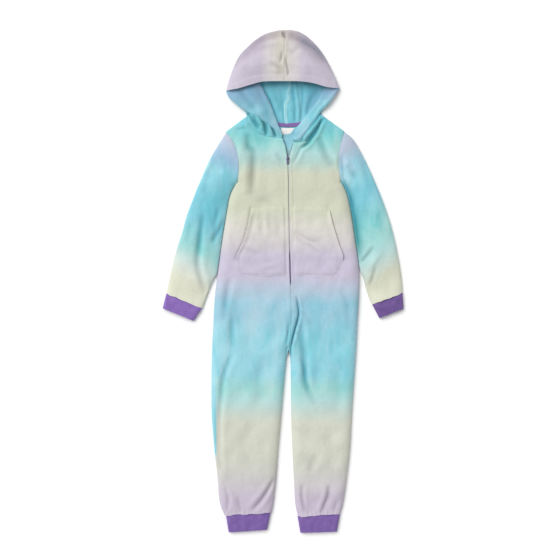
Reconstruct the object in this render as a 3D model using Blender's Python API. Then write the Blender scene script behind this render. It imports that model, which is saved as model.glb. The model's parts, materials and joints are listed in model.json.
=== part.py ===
"""A child's hooded onesie pajama of plush fleece, laid flat on its back.

World frame: metres, +Z up, hood towards +Y, feet towards -Y, the underside on
z = 0 and the origin under the middle of the garment. "left" is the side at -X.
Sizes below are millimetres; MM turns them to metres where a mesh is made.

Every cloth piece is a middle surface, worked out from the edge tables, that
walled() turns into a wall with two faces. Pieces meet with SEAM between them.
"""

import math
from collections import namedtuple

import bmesh
import bpy
import numpy as np

MM = 0.001

# ---------------------------------------------------------------- driving sizes
FLEECE = 2.2  # wall of the plush fleece
RIB = 2.6  # wall of the doubled rib of the cuffs
SEAM = 0.38  # gap between two pieces sewn together
LAY = 1.6  # gap between a sleeve and the side that it lies beside
BACK_EDGE = 3.4  # height of the back's edge, where it turns up to the side seam
FRONT_EDGE = 3.75  # height of the front's edge at the same seam
FOLD_EDGE = 3.6  # middle height of a sleeve's or the hood's folded edge
CURL = 7.0  # how far in from the side seam the back turns up
SIDE_ROUND = 24.0  # how far in from the side seam the front reaches full height
SLEEVE_ROUND = 26.0  # the same at a sleeve's outer edge
TUCK_ROUND = 44.0  # and where the sleeve lies beside the body
CUFF_HEIGHT = 11.6  # over both layers of a cuff
CUFF_ROUND = 11.0
ZIP_GAP = 1.5  # half the gap between the fronts, where the coil shows
ZIP_BOTTOM = -2.0  # y of the zip's bottom stop
TAPE = 0.8  # thickness of zip tape and neck tape
TAPE_WIDTH = 13.0
COIL = 1.0  # width of one half of the coil
ZIP_DROP = 1.6  # from the middle of the front's wall down to the tape
POCKET_LIFT = 0.55  # gap under a pocket
POCKET_MOUTH = 2.6  # how far the hand opening stands off the front

# grid counts
FRONT_COLUMNS = 15
BACK_COLUMNS = 8
LEG_ROWS = {"front": 16, "back": 8}
TORSO_ROWS = {"front": 15, "back": 9}
YOKE_ROWS = 10
SLEEVE_ROWS = 12
NECK_STEPS = 5  # lengths of neck seam that front, back and hood share
BAND_STEPS = 4  # gather rows on each of them
HOOD_COLUMNS = 2 * NECK_STEPS

# ---------------------------------------------------------------- edge tables
Level = namedtuple("Level", "y left_side left_inner right_inner right_side")
BODY = (
    # ankle seam to crotch: side seams and inseams
    Level(-612, -150, -34, 39, 145),
    Level(-588, -161, -27, 33, 153),
    Level(-556, -167, -23, 30, 159),
    Level(-512, -170, -18, 28, 165),
    Level(-440, -178, -13, 24, 173),
    Level(-350, -185, -5, 21, 178),
    Level(-260, -186, 3, 20, 184),
    Level(-205, -185, 8, 19, 188),
    Level(-173, -184, 12, 17, 190),
    # crotch to underarm: side seams and centre line
    Level(-110, -181, 21, 21, 193),
    Level(-40, -177, 20, 20, 197),
    Level(30, -168, 18, 18, 197),
    Level(110, -157, 16, 16, 186),
    Level(170, -147, 15, 15, 177),
    Level(215, -139, 14, 14, 168),
    Level(240, -129, 14, 14, 159),
    Level(256, -118, 14, 14, 150),
)
CROTCH_ROW = 8
CROTCH_X = 14.5
JOIN_SPREAD = 30.0  # how far round crotch and underarm the layers lie apart

Ankle = namedtuple("Ankle", "side_y inner_y")
ANKLE = {"left": Ankle(-607, -600), "right": Ankle(-604, -610)}

# x, y along each edge
ARMHOLE = {  # underarm to shoulder tip
    "left": ((-118, 256), (-115, 282), (-116, 314), (-122, 342), (-134, 367), (-148, 385)),
    "right": ((150, 256), (145, 282), (144, 314), (147, 345), (153, 368), (159, 386)),
}
ZIP_TOP = ((14, 256), (13, 285), (12, 312))  # centre line, underarm level to slider
V_EDGE = {  # slider to neck seam
    "left": ((12, 312), (9, 332), (4, 356), (-3, 371)),
    "right": ((12, 312), (18, 331), (23, 346), (27, 359)),
}
NECK_FRONT = {  # zip to shoulder
    "left": ((-3, 371), (-34, 373), (-57, 380), (-74, 390), (-87, 407), (-93, 427)),
    "right": ((27, 359), (52, 361), (76, 371), (90, 388), (97, 410), (97, 432)),
}
NECK_BACK = {  # centre to shoulder
    "left": ((12, 398), (-21, 402), (-57, 412), (-93, 427)),
    "right": ((12, 398), (44, 402), (73, 415), (97, 432)),
}
SLEEVE_OUT = {  # shoulder tip to cuff
    "left": ((-148, 385), (-166, 356), (-190, 315), (-213, 263), (-231, 219),
             (-249, 171), (-263, 122), (-278, 76), (-292, 20), (-303, -32)),
    "right": ((159, 386), (181, 368), (203, 332), (223, 291), (243, 245),
              (263, 195), (283, 132), (299, 59), (308, 0), (310, -30)),
}
SLEEVE_IN = {  # where the sleeve leaves the body's side, to cuff
    "left": ((-171, 18), (-183, -3), (-194, -30), (-209, -71)),
    "right": ((201, 22), (208, 8), (213, -12), (220, -37), (230, -62)),
}
Cuff = namedtuple("Cuff", "top_a top_b foot_a foot_b")
CUFFS = {
    "wrist_cuff_left": Cuff((-303, -32), (-210, -71), (-313, -71), (-232, -104)),
    "wrist_cuff_right": Cuff((231, -62), (310, -30), (249, -97), (313, -72)),
    "ankle_cuff_left": Cuff((-149, -607), (-32, -600), (-142, -652), (-41, -645)),
    "ankle_cuff_right": Cuff((37, -610), (148, -604), (44, -653), (140, -650)),
}

# hood, seen from above: outline of the crown, face edge and its run to the zip
CROWN_SEAM = ((6, 650), (3, 610), (2, 570), (3, 515))
BACK_SEAM = ((6, 650), (10, 560), (12, 470), (12, 398))
CROWN_TOP = {"left": ((6, 650), (-12, 649), (-29, 645)), "right": ((6, 650), (21, 650), (36, 647))}
CROWN_SIDE = {
    "left": ((-29, 645), (-51, 636), (-72, 622), (-91, 605), (-108, 588), (-119, 570),
             (-129, 547), (-139, 518), (-145, 492)),
    "right": ((36, 647), (56, 636), (79, 616), (98, 593), (112, 570), (123, 549),
              (135, 522), (144, 499)),
}
FACE_ARC = {  # centre to corner
    "left": ((3, 515), (-18, 515), (-52, 514), (-81, 506), (-112, 497), (-145, 492)),
    "right": ((3, 515), (44, 514), (75, 510), (106, 501), (124, 499), (144, 499)),
}
LAPEL_RIM = {
    "left": ((-145, 492), (-141, 480), (-131, 470), (-115, 456), (-95, 440)),
    "right": ((144, 499), (132, 481), (115, 459), (99, 444)),
}
BAND_RIM = {
    "left": ((-95, 440), (-73, 424), (-49, 409), (-26, 395), (-3, 382)),
    "right": ((99, 444), (76, 411), (62, 389), (47, 373), (36, 364)),
}
POCKET_OUT = {  # bottom corner, lower and upper end of the hand opening, top corner
    "left": ((-108, 12), (-125, 52), (-101, 106), (-89, 152), (-83, 187)),
    "right": ((133, 8), (155, 56), (144, 95), (128, 147), (118, 190)),
}
POCKET_TOP = 194
POCKET_FOOT = 11
POCKET_INSET = 7  # from the centre line to the pocket's sewn edge

# heights over both layers, by y on the body and by share of length on a sleeve
Height = namedtuple("Height", "at over_all")
BODY_HEIGHT = (
    Height(-612, 11.0), Height(-588, 14.0), Height(-550, 16.5), Height(-400, 17.5),
    Height(-173, 18.0), Height(0, 19.5), Height(170, 19.0), Height(256, 16.5),
    Height(312, 13.5), Height(360, 11.5), Height(430, 10.5),
)
SLEEVE_HEIGHT = (
    Height(0.0, 14.5), Height(0.15, 15.5), Height(0.5, 16.0), Height(0.88, 15.0), Height(1.0, 11.2),
)
CROWN_HEIGHT = (Height(0.0, 12.0), Height(0.3, 24.0), Height(0.7, 29.0), Height(1.0, 24.0))
# height of the hood's folded edge or free rim, by row from the crown to the neck
RIM_HEIGHT = (
    Height(0, 3.6), Height(5, 3.8), Height(7, 5.5), Height(8, 8.0), Height(10, 10.0),
    Height(11, 9.5), Height(12, 7.5), Height(15, 3.6),
)
LAPEL_WIDTH = (Height(0, 7.0), Height(6, 9.0), Height(8, 40.0), Height(10, 62.0), Height(12, 40.0), Height(15, 7.0))

# ---------------------------------------------------------------- folds
Fold = namedtuple("Fold", "rise width path")
FRONT_FOLDS = (
    # left chest, under the left neck gathers
    Fold(-4.0, 9, ((-91, 377), (-91, 346), (-76, 330), (-75, 300), (-76, 262), (-79, 226))),
    Fold(1.6, 9, ((-104, 345), (-97, 300), (-98, 250), (-101, 225))),
    # right shoulder
    Fold(-3.0, 13, ((95, 368), (112, 326), (131, 294))),
    # drag lines to the slider
    Fold(-1.6, 6, ((76, 362), (59, 352), (41, 332), (29, 308))),
    Fold(-1.0, 7, ((-18, 329), (-4, 310))),
    # below the pockets
    Fold(-2.6, 9, ((-139, -6), (-151, -68), (-150, -104))),
    Fold(-2.2, 8, ((-135, -70), (-133, -120), (-133, -170))),
    # crotch
    Fold(-6.0, 6, ((36, -47), (41, -90), (27, -144), (20, -194))),
    Fold(3.0, 9, ((52, -60), (58, -110), (45, -160))),
    Fold(-3.0, 6, ((15, -114), (8, -160))),
    # legs
    Fold(-4.2, 9, ((43, -114), (51, -170), (57, -220), (55, -259), (69, -289), (85, -323))),
    Fold(-3.6, 9, ((-133, -190), (-155, -249), (-161, -299), (-164, -349), (-164, -440), (-160, -490))),
    # gathers at the ankles
    Fold(-4.4, 7, ((-22, -512), (-51, -560), (-75, -588))),
    Fold(2.4, 9, ((-40, -520), (-70, -560), (-92, -585))),
    Fold(-2.6, 6, ((-148, -545), (-147, -590))),
    Fold(-2.0, 6, ((-112, -560), (-108, -597))),
    Fold(-3.4, 7, ((113, -543), (102, -598))),
    Fold(-3.0, 6, ((47, -552), (46, -600))),
    Fold(-1.8, 10, ((84, -454), (68, -493))),
    Fold(2.0, 8, ((80, -545), (76, -596))),
)
SLEEVE_FOLDS = (
    Fold(-3.6, 9, ((-208, 166), (-218, 93), (-221, 46), (-213, 6), (-200, -30))),
    Fold(-2.2, 7, ((-180, 103), (-150, 159))),
    Fold(2.0, 10, ((-158, 280), (-140, 250))),
    Fold(-2.6, 7, ((150, 329), (152, 297), (163, 264))),
    Fold(-1.8, 6, ((174, 290), (182, 254))),
    Fold(-2.6, 7, ((205, 49), (233, 83))),
    Fold(-2.4, 7, ((230, -7), (243, 33))),
    Fold(2.0, 9, ((222, 30), (248, 68))),
)
CROWN_FOLDS = (
    Fold(-3.0, 5, ((1, 646), (1, 632))),
    Fold(-2.6, 7, ((-2, 578), (-5, 562))),
    Fold(-2.4, 6, ((7, 570), (13, 539))),
    Fold(-2.2, 7, ((-31, 561), (-6, 545), (1, 536))),
    Fold(-3.2, 14, ((23, 622), (75, 590), (112, 561))),
    Fold(2.0, 9, ((-56, 611), (-10, 622))),
)
Gather = namedtuple("Gather", "at rise width")  # share of the band's length, depth, half width
GATHERS = {
    "left": (Gather(0.16, -2.6, 0.030), Gather(0.30, -1.8, 0.026), Gather(0.47, -2.8, 0.030),
             Gather(0.62, -1.6, 0.024), Gather(0.76, -2.4, 0.028), Gather(0.90, -1.4, 0.024)),
    "right": (Gather(0.14, -2.2, 0.030), Gather(0.28, -2.6, 0.028), Gather(0.44, -1.6, 0.024),
              Gather(0.58, -2.6, 0.030), Gather(0.74, -1.8, 0.026), Gather(0.88, -2.0, 0.026)),
}

# ---------------------------------------------------------------- zip slider
SLIDER_Y = 316.0
SLIDER_SIZE = (8.0, 8.4, 1.6)
BRIDGE = (2.0, 6.4, 3.9)  # width, length and height of the arch on the slider
BRIDGE_WALL = 0.9
PULL_SIZE = (5.6, 15.2, 1.2)  # width, length from its hinge, thickness
PULL_ARM = 1.4
PULL_EYE = 4.6

# ---------------------------------------------------------------- colours
Finish = namedtuple("Finish", "hex rough")
FINISHES = {
    "plush": Finish("BCD9DC", 0.95),
    "plush_lavender": Finish("CBC5D7", 0.95),
    "plush_cream": Finish("D6D9C6", 0.95),
    "rib": Finish("7B5FA3", 0.9),
    "tape": Finish("8C6BA8", 0.8),
    "label": Finish("F2F0EE", 0.7),
    "zip": Finish("6F6388", 0.5),
}


# ================================================================ curves in the plane
def curve(points, per_span=8):
    """A dense line on the Catmull-Rom curve through the points."""
    p = np.asarray(points, float)
    ends = np.vstack([2 * p[0] - p[1], p, 2 * p[-1] - p[-2]])
    t = np.linspace(0, 1, per_span, endpoint=False)[:, None]
    spans = []
    for a, b, c, d in zip(ends, ends[1:], ends[2:], ends[3:]):
        spans.append(0.5 * (2 * b + (c - a) * t + (2 * a - 5 * b + 4 * c - d) * t**2
                            + (3 * b - a - 3 * c + d) * t**3))
    return np.vstack(spans + [p[-1:]])


def along(line, shares):
    """Points at the given shares of a line's length."""
    steps = np.linalg.norm(np.diff(line, axis=0), axis=1)
    run = np.concatenate([[0], np.cumsum(steps)]) / steps.sum()
    return np.stack([np.interp(shares, run, line[:, k]) for k in range(line.shape[1])], axis=-1)


def halved(line):
    """The same line with a point put in the middle of each length."""
    doubled = np.empty((2 * len(line) - 1, line.shape[1]))
    doubled[::2] = line
    doubled[1::2] = (line[:-1] + line[1:]) / 2
    return doubled


def even(count):
    return np.linspace(0, 1, count + 1)


def closing(count, power):
    """Shares whose steps shrink towards 1."""
    return 1 - (1 - even(count)) ** power


def reach(points, line):
    """Distance of each point from a line of many short lengths."""
    a, b = line[:-1], line[1:]
    ab = b - a
    ap = points[..., None, :] - a
    t = np.clip((ap * ab).sum(-1) / np.maximum((ab * ab).sum(-1), 1e-9), 0, 1)
    return np.linalg.norm(ap - t[..., None] * ab, axis=-1).min(-1)


def share_and_reach(points, line):
    """Share of the line's length at each point's nearest place, and the distance."""
    a, b = line[:-1], line[1:]
    ab = b - a
    ap = points[..., None, :] - a
    t = np.clip((ap * ab).sum(-1) / np.maximum((ab * ab).sum(-1), 1e-9), 0, 1)
    gaps = np.linalg.norm(ap - t[..., None] * ab, axis=-1)
    best = gaps.argmin(-1)
    steps = np.linalg.norm(ab, axis=1)
    run = np.concatenate([[0], np.cumsum(steps)])[:-1]
    here = np.take_along_axis(t, best[..., None], -1)[..., 0]
    return (run[best] + here * steps[best]) / steps.sum(), gaps.min(-1)


def normals_of(line):
    """Unit vectors across a line, to the left of its run."""
    run = np.gradient(line, axis=0)
    run /= np.linalg.norm(run, axis=1, keepdims=True)
    return np.stack([-run[:, 1], run[:, 0]], axis=-1)


def shifted(line, by):
    """The line moved to its left by a distance."""
    return line + normals_of(line) * by


def smooth(x):
    x = np.clip(x, 0, 1)
    return x * x * (3 - 2 * x)


def dome(x):
    """A quarter round: 0 at an edge, 1 where the top is level."""
    x = np.clip(x, 0, 1)
    return np.sqrt(x * (2 - x))


def table(rows, at):
    return np.interp(at, [r.at for r in rows], [r.over_all for r in rows])


def folded(points, folds):
    """Sum of the troughs and ridges at each point, each dying out at its ends."""
    total = np.zeros(points.shape[:-1])
    for fold in folds:
        share, off = share_and_reach(points, curve(fold.path, 6))
        taper = np.sqrt(np.clip(4 * share * (1 - share), 0, 1)) * 0.8 + 0.2
        total += fold.rise * taper * np.exp(-((off / fold.width) ** 2))
    return total


# ================================================================ edges of the pieces
SIGN = {"left": -1, "right": 1}


def body_edge(side, name, first, last):
    rows = BODY[first:last + 1]
    return curve([(getattr(r, f"{side}_{name}"), r.y) for r in rows])


def cut_below(line, y):
    """The part of an upward line that lies above y."""
    start = np.array([[np.interp(y, line[:, 1], line[:, 0]), y]])
    return np.vstack([start, line[line[:, 1] > y + 1e-6]])


def side_seam(side):
    """Ankle seam to underarm, half a wall inside the outline."""
    line = cut_below(body_edge(side, "side", 0, len(BODY) - 1), ANKLE[side].side_y)
    return shifted(line, SIGN[side] * FLEECE / 2)


def inseam(side):
    line = cut_below(body_edge(side, "inner", 0, CROTCH_ROW), ANKLE[side].inner_y)
    return shifted(line, -SIGN[side] * FLEECE / 2)


def centre_line():
    rows = [(CROTCH_X, BODY[CROTCH_ROW].y)]
    rows += [(r.left_inner, r.y) for r in BODY[CROTCH_ROW + 1:]]
    return curve(rows)


def shoulder_seam(side):
    return np.array([ARMHOLE[side][-1], NECK_BACK[side][-1]], float)


# share of an armhole, and of a sleeve's width, at each column of the sleeve
SLEEVE_COLUMNS = np.array([0, 0.025, 0.08, 0.2, 0.35, 0.5, 0.65, 0.8, 0.92, 0.975, 1])


def armhole(side):
    return along(curve(ARMHOLE[side]), SLEEVE_COLUMNS)


def neck_front(side):
    return along(curve(NECK_FRONT[side]), even(NECK_STEPS))


def neck_back(side):
    return along(curve(NECK_BACK[side]), even(NECK_STEPS))


def sleeve_seam(side):
    """The sleeve's own edge at the armhole, kept clear of the corner under the arm."""
    seam = shifted(armhole(side), -SIGN[side] * SEAM / 2)
    seam[0] += (SIGN[side] * 0.2, 1.9)
    return seam


def sleeve_edges(side):
    """Outer edge from the shoulder, inner edge from the underarm, half a wall in."""
    outer = shifted(curve(SLEEVE_OUT[side]), -SIGN[side] * FLEECE / 2)
    outer[0] = ARMHOLE[side][-1]
    beside = side_seam(side)[::-1]
    leaves = SLEEVE_IN[side][0][1]
    beside = beside[beside[:, 1] > leaves + 12]
    beside = shifted(beside, SIGN[side] * (FLEECE + LAY))
    free = curve(SLEEVE_IN[side])
    free = shifted(free, SIGN[side] * FLEECE / 2)
    inner = np.vstack([sleeve_seam(side)[:1], beside[1:], free])
    return outer, inner


# ================================================================ heights of the pieces
def body_height(points, side):
    """Middle height of a front before its neighbours are blended in."""
    edges = (side_seam(side), inseam(side), shoulder_seam(side))
    off = np.min([reach(points, e) for e in edges], axis=0)
    full = table(BODY_HEIGHT, points[..., 1]) - FLEECE / 2
    return FRONT_EDGE + (full - FRONT_EDGE) * dome(off / SIDE_ROUND), off


def sleeve_height(points, side):
    outer, inner = sleeve_edges(side)
    share, off_out = share_and_reach(points, outer)
    off_in = reach(points, inner)
    full = table(SLEEVE_HEIGHT, share) - FLEECE / 2
    rise = np.minimum(dome(off_out / SLEEVE_ROUND), dome(off_in / TUCK_ROUND))
    return FOLD_EDGE + (full - FOLD_EDGE) * rise, np.minimum(off_out, off_in)


def blended(points, side, own, other):
    """Lets two pieces reach one height at the armhole that they share."""
    near = 1 - smooth(reach(points, curve(ARMHOLE[side])) / 34)
    return own + 0.5 * near * (other - own)


def near_join(points, side):
    """1 at the crotch and under the arm, where the edge seams end, 0 away from them."""
    corners = np.array([(CROTCH_X, BODY[CROTCH_ROW].y), ARMHOLE[side][0]], float)
    gap = np.linalg.norm(points[..., None, :] - corners, axis=-1).min(-1)
    return 1 - smooth(gap / JOIN_SPREAD)


def front_height(points, side):
    own, off = body_height(points, side)
    other, _ = sleeve_height(points, side)
    z = blended(points, side, own, other)
    near_arm = smooth(reach(points, curve(ARMHOLE[side])) / 12)
    z = z + folded(points, FRONT_FOLDS) * smooth(off / 12) * near_arm
    return z + 1.1 * near_join(points, side)


def back_height(points, side):
    edges = (side_seam(side), inseam(side), shoulder_seam(side))
    off = np.min([reach(points, e) for e in edges], axis=0)
    rise = (BACK_EDGE - FLEECE / 2) * (1 - 0.9 * near_join(points, side))
    return FLEECE / 2 + rise * np.clip(1 - off / CURL, 0, 1) ** 2


# ================================================================ meshes
Sheet = namedtuple("Sheet", "points quads")


def grid_quads(index):
    """Four-sided faces on a table of point numbers."""
    a, b = index[:-1, :-1], index[:-1, 1:]
    c, d = index[1:, 1:], index[1:, :-1]
    return np.stack([a, b, c, d], axis=-1).reshape(-1, 4)


def grid_sheet(points):
    index = np.arange(points.shape[0] * points.shape[1]).reshape(points.shape[:2])
    return Sheet(points.reshape(-1, 3), grid_quads(index)), index


def face_up(sheet):
    """Turns the faces over where they look down on average."""
    p, q = sheet.points, sheet.quads
    area = np.cross(p[q[:, 2]] - p[q[:, 0]], p[q[:, 3]] - p[q[:, 1]])
    return sheet if area[:, 2].sum() > 0 else Sheet(p, q[:, ::-1])


def point_normals(sheet):
    p, q = sheet.points, sheet.quads
    area = np.cross(p[q[:, 2]] - p[q[:, 0]], p[q[:, 3]] - p[q[:, 1]])
    total = np.zeros_like(p)
    for k in range(4):
        np.add.at(total, q[:, k], area)
    return total / np.linalg.norm(total, axis=1, keepdims=True)


def across(nodes):
    """Level unit vectors across a row of 3-D points."""
    run = np.gradient(nodes[:, :2], axis=0)
    run /= np.linalg.norm(run, axis=1, keepdims=True)
    return np.stack([-run[:, 1], run[:, 0], np.zeros(len(run))], axis=-1)


def pin_upright(normals, points, row):
    """Ends a wall square to its seam, so that it meets its neighbour face to face."""
    side = across(points[row])
    n = normals[row]
    n = n - (n * side).sum(1, keepdims=True) * side
    normals[row] = n / np.linalg.norm(n, axis=1, keepdims=True)


def pin_level(normals, points, row, outward):
    """Stands a wall upright at its edge, facing out."""
    side = across(points[row])
    flip = np.sign((side * outward).sum(1, keepdims=True))
    normals[row] = side * np.where(flip == 0, 1, flip)


def walled(sheet, wall, normals):
    """Points and faces of a wall, half of it on each side of the sheet."""
    p, q = sheet.points, [tuple(int(i) for i in f) for f in sheet.quads]
    count = len(p)
    points = np.vstack([p + normals * wall / 2, p - normals * wall / 2])
    faces = list(q) + [tuple(i + count for i in reversed(f)) for f in q]
    edges = {}
    for f in q:
        for a, b in zip(f, f[1:] + f[:1]):
            edges[(a, b)] = True
    for a, b in edges:
        if (b, a) not in edges:
            faces.append((b, a, a + count, b + count))
    return points, faces


def ring_sheet(rings):
    """A tube of rings of points, open at both ends, faces outward."""
    rows, count = rings.shape[:2]
    index = np.arange(rows * count).reshape(rows, count)
    index = np.hstack([index, index[:, :1]])
    sheet = Sheet(rings.reshape(-1, 3), grid_quads(index))
    p, q = sheet.points, sheet.quads
    centre = rings.mean(axis=1)[np.clip(q[:, 0] // count, 0, rows - 1)]
    area = np.cross(p[q[:, 2]] - p[q[:, 0]], p[q[:, 3]] - p[q[:, 1]])
    out = (area * (p[q].mean(axis=1) - centre)).sum()
    return sheet if out > 0 else Sheet(p, q[:, ::-1])


# ================================================================ Blender objects
def linear(hex_colour):
    values = [int(hex_colour[k:k + 2], 16) / 255 for k in (0, 2, 4)]
    return [v / 12.92 if v <= 0.04045 else ((v + 0.055) / 1.055) ** 2.4 for v in values]


def material(name):
    made = bpy.data.materials.get(name)
    if made is None:
        made = bpy.data.materials.new(name)
        made.use_nodes = True
        shader = made.node_tree.nodes["Principled BSDF"]
        shader.inputs["Base Color"].default_value = (*linear(FINISHES[name].hex), 1)
        shader.inputs["Roughness"].default_value = FINISHES[name].rough
        made.diffuse_color = (*linear(FINISHES[name].hex), 1)
    return made


def add_object(name, points, faces, finish, origin=(0, 0, 0)):
    """An object from millimetre points; its own origin lies at the given place."""
    mesh = bpy.data.meshes.new(name)
    bm = bmesh.new()
    verts = [bm.verts.new((np.asarray(p) - origin) * MM) for p in points]
    for face in faces:
        bm.faces.new([verts[i] for i in face])
    bm.normal_update()
    bm.to_mesh(mesh)
    bm.free()
    mesh.materials.append(material(finish))
    mesh.shade_smooth()
    mesh.set_sharp_from_angle(angle=math.radians(50))
    made = bpy.data.objects.new(name, mesh)
    made.location = [c * MM for c in origin]
    bpy.context.collection.objects.link(made)
    return made


def add_cloth(name, sheet, wall, normals, finish):
    points, faces = walled(sheet, wall, normals)
    return add_object(name, points, faces, finish)


# ================================================================ fronts and backs
def column_shares(length, count):
    """Columns 3 and 9 mm in from either edge, the rest even between them."""
    inner = np.linspace(9, length - 9, count - 3)
    return np.concatenate([[0, 3], inner, [length - 3, length]]) / length


def between(outer, inner, count):
    """Rows of points from the outer nodes to the inner nodes."""
    rows = []
    for a, b in zip(outer, inner):
        shares = column_shares(np.linalg.norm(b - a), count)[:, None]
        rows.append(a + (b - a) * shares)
    return np.array(rows)


def panel_edges(side, face):
    """Nodes of a panel's outer and inner edge, from the ankle to the shoulder."""
    out_line = side_seam(side)
    crotch_y = BODY[CROTCH_ROW].y
    lower = out_line[out_line[:, 1] <= crotch_y]
    upper = out_line[out_line[:, 1] >= crotch_y - 8]
    legs, torso = LEG_ROWS[face], TORSO_ROWS[face]
    zip_gap = SIGN[side] * SEAM / 2
    outer = [along(lower, even(legs))[:-1], along(upper, closing(torso, 1.35))]
    middle = along(centre_line(), closing(torso, 1.15))
    middle[:, 0] += zip_gap
    inner = [along(inseam(side), even(legs))[:-1], middle]
    arm = armhole(side)
    outer.append(shifted(arm, SIGN[side] * SEAM / 2)[1:])
    if face == "front":
        up = along(curve(ZIP_TOP), even(2))[1:] + (zip_gap, 0)
        vee = along(curve(V_EDGE[side]), even(3))[1:-1]
        neck = shifted(neck_front(side), -SIGN[side] * SEAM / 2)
        inner += [up, vee, neck]
    else:
        up = along(np.array([(14, 256), NECK_BACK[side][0]], float), even(NECK_STEPS))[1:-1]
        up[:, 0] += zip_gap
        neck = shifted(neck_back(side), -SIGN[side] * SEAM / 2)
        neck[0] = NECK_BACK[side][0] + np.array([zip_gap, -SEAM / 2])
        inner += [up, neck]
    outer, inner = np.vstack(outer), np.vstack(inner)
    for edge in (outer, inner):
        edge[-1] += (edge[-2] - edge[-1]) / np.linalg.norm(edge[-2] - edge[-1]) * FLEECE / 2
    if face == "front":
        open_zip(side, inner)
    return outer, inner


def open_zip(side, inner):
    """Sets the front's edge back from the coil, above the zip's bottom."""
    first_neck = len(inner) - NECK_STEPS
    for row in range(LEG_ROWS["front"] + 1, first_neck):
        back = smooth((inner[row, 1] - ZIP_BOTTOM + 24) / 24)
        inner[row, 0] += SIGN[side] * back * (ZIP_GAP - SEAM / 2)


def pin_panel(normals, points, index, side, face):
    legs = LEG_ROWS[face]
    arm = len(index) - 1 - YOKE_ROWS
    left, up = np.array([SIGN[side], 0, 0]), np.array([0, 1, 0])
    level = ((index[:arm, 0], left), (index[:legs, -1], -left), (index[-1], up))
    for row, outward in level:
        pin_level(normals, points, row, outward)
        if face == "back":
            normals[row] *= -1
    pin_upright(normals, points, index[arm:, 0])
    pin_upright(normals, points, index[legs:, -1])
    pin_upright(normals, points, index[0])


def body_panel(side, face):
    """Half of the torso and one leg in one piece, on the front or the back."""
    columns = FRONT_COLUMNS if face == "front" else BACK_COLUMNS
    plan = between(*panel_edges(side, face), columns)
    height = front_height if face == "front" else back_height
    points = np.dstack([plan, height(plan, side)])
    sheet, index = grid_sheet(points)
    sheet = face_up(sheet)
    normals = point_normals(sheet)
    pin_panel(normals, sheet.points, index, side, face)
    add_cloth(f"{face}_{side}", sheet, FLEECE, normals, "plush")
    return points


# ================================================================ sleeves and cuffs
def tube_ring(plan, top, edge, wall):
    """A flattened ring: along the top row of points and back along the bottom."""
    low = wall / 2
    span = np.linalg.norm(plan - plan[:1], axis=1)
    off = np.minimum(span, span[-1] - span)
    bottom = low + (edge - low) * np.clip(1 - off / CURL, 0, 1) ** 2
    over = np.column_stack([plan, top])
    over[[0, -1], 2] = edge
    under = np.column_stack([plan, bottom])[-2:0:-1]
    return np.vstack([over, under])


def sleeve(side):
    outer, inner = sleeve_edges(side)
    shares = even(SLEEVE_ROWS) ** 1.1
    starts, ends = along(outer, shares), along(inner, shares ** 1.4)
    seam = sleeve_seam(side)[::-1]
    chord = seam[0] + (seam[-1] - seam[0]) * SLEEVE_COLUMNS[:, None]
    rings = []
    for a, b, share in zip(starts, ends, shares):
        keep = max(0.0, 1 - share / 0.3) ** 1.5
        plan = a + (b - a) * SLEEVE_COLUMNS[:, None] + (seam - chord) * keep
        if share == 0:
            plan = seam
        own, off = sleeve_height(plan, side)
        other, _ = body_height(plan, side)
        top = blended(plan, side, own, other)
        near_arm = smooth(reach(plan, curve(ARMHOLE[side])) / 12)
        top = top + folded(plan, SLEEVE_FOLDS) * smooth(off / 12) * near_arm
        rings.append(tube_ring(plan, top, FOLD_EDGE, FLEECE))
    add_tube(f"sleeve_{side}", np.array(rings), FLEECE, "plush")


def add_tube(name, rings, wall, finish):
    sheet = ring_sheet(rings)
    normals = point_normals(sheet)
    count = rings.shape[1]
    half = count // 2
    for first in (0, len(sheet.points) - count):
        ring = np.arange(first, first + count)
        pin_upright(normals, sheet.points, ring[:half + 1])
        pin_upright(normals, sheet.points, np.append(ring[half:], ring[0])[1:-1])
    add_cloth(name, sheet, wall, normals, finish)


def cuff(name, size):
    """A flattened rib tube, a little narrower at its free end."""
    top = np.array([size.top_a, size.top_b], float)
    foot = np.array([size.foot_a, size.foot_b], float)
    down = (foot - top).mean(axis=0)
    top += down / np.linalg.norm(down) * SEAM
    shares = np.array([0, 0.03, 0.1, 0.3, 0.5, 0.7, 0.9, 0.97, 1])[:, None]
    rings = []
    for v in (0.0, 0.5, 1.0):
        a, b = top + (foot - top) * v
        inward = (b - a) / np.linalg.norm(b - a) * RIB / 2
        plan = a + inward + (b - a - 2 * inward) * shares
        off = np.minimum(shares, 1 - shares)[:, 0] * np.linalg.norm(b - a)
        edge = CUFF_HEIGHT / 2 - 0.8
        full = CUFF_HEIGHT - RIB / 2 + 0.5 * math.sin(math.pi * v)
        rings.append(tube_ring(plan, edge + (full - edge) * dome(off / CUFF_ROUND), edge, RIB))
    add_tube(name, np.array(rings), RIB, "rib")


# ================================================================ hood
def hood(side, front_points):
    """Back, crown and neck band of one half of the hood, as one sheet."""
    crown = along(curve(CROWN_SIDE[side]), even(8))
    lapel = along(curve(LAPEL_RIM[side]), even(4))
    corner = np.array(NECK_BACK[side][-1], float) + (-SIGN[side] * 0.6, 1.6)
    neck_side = along(np.array([lapel[-1], corner]), even(3))
    rim = np.vstack([crown, lapel[1:], neck_side[1:]])
    inset = shifted(rim, SIGN[side] * FLEECE / 2)
    inset[-1] = corner
    last = len(rim) - 1
    back = hood_back(side, inset, last)
    top = hood_crown(side, inset[:9], back)
    band = hood_band(side, inset[12:], front_points, back)
    add_hood(side, back, top, band)


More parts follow.
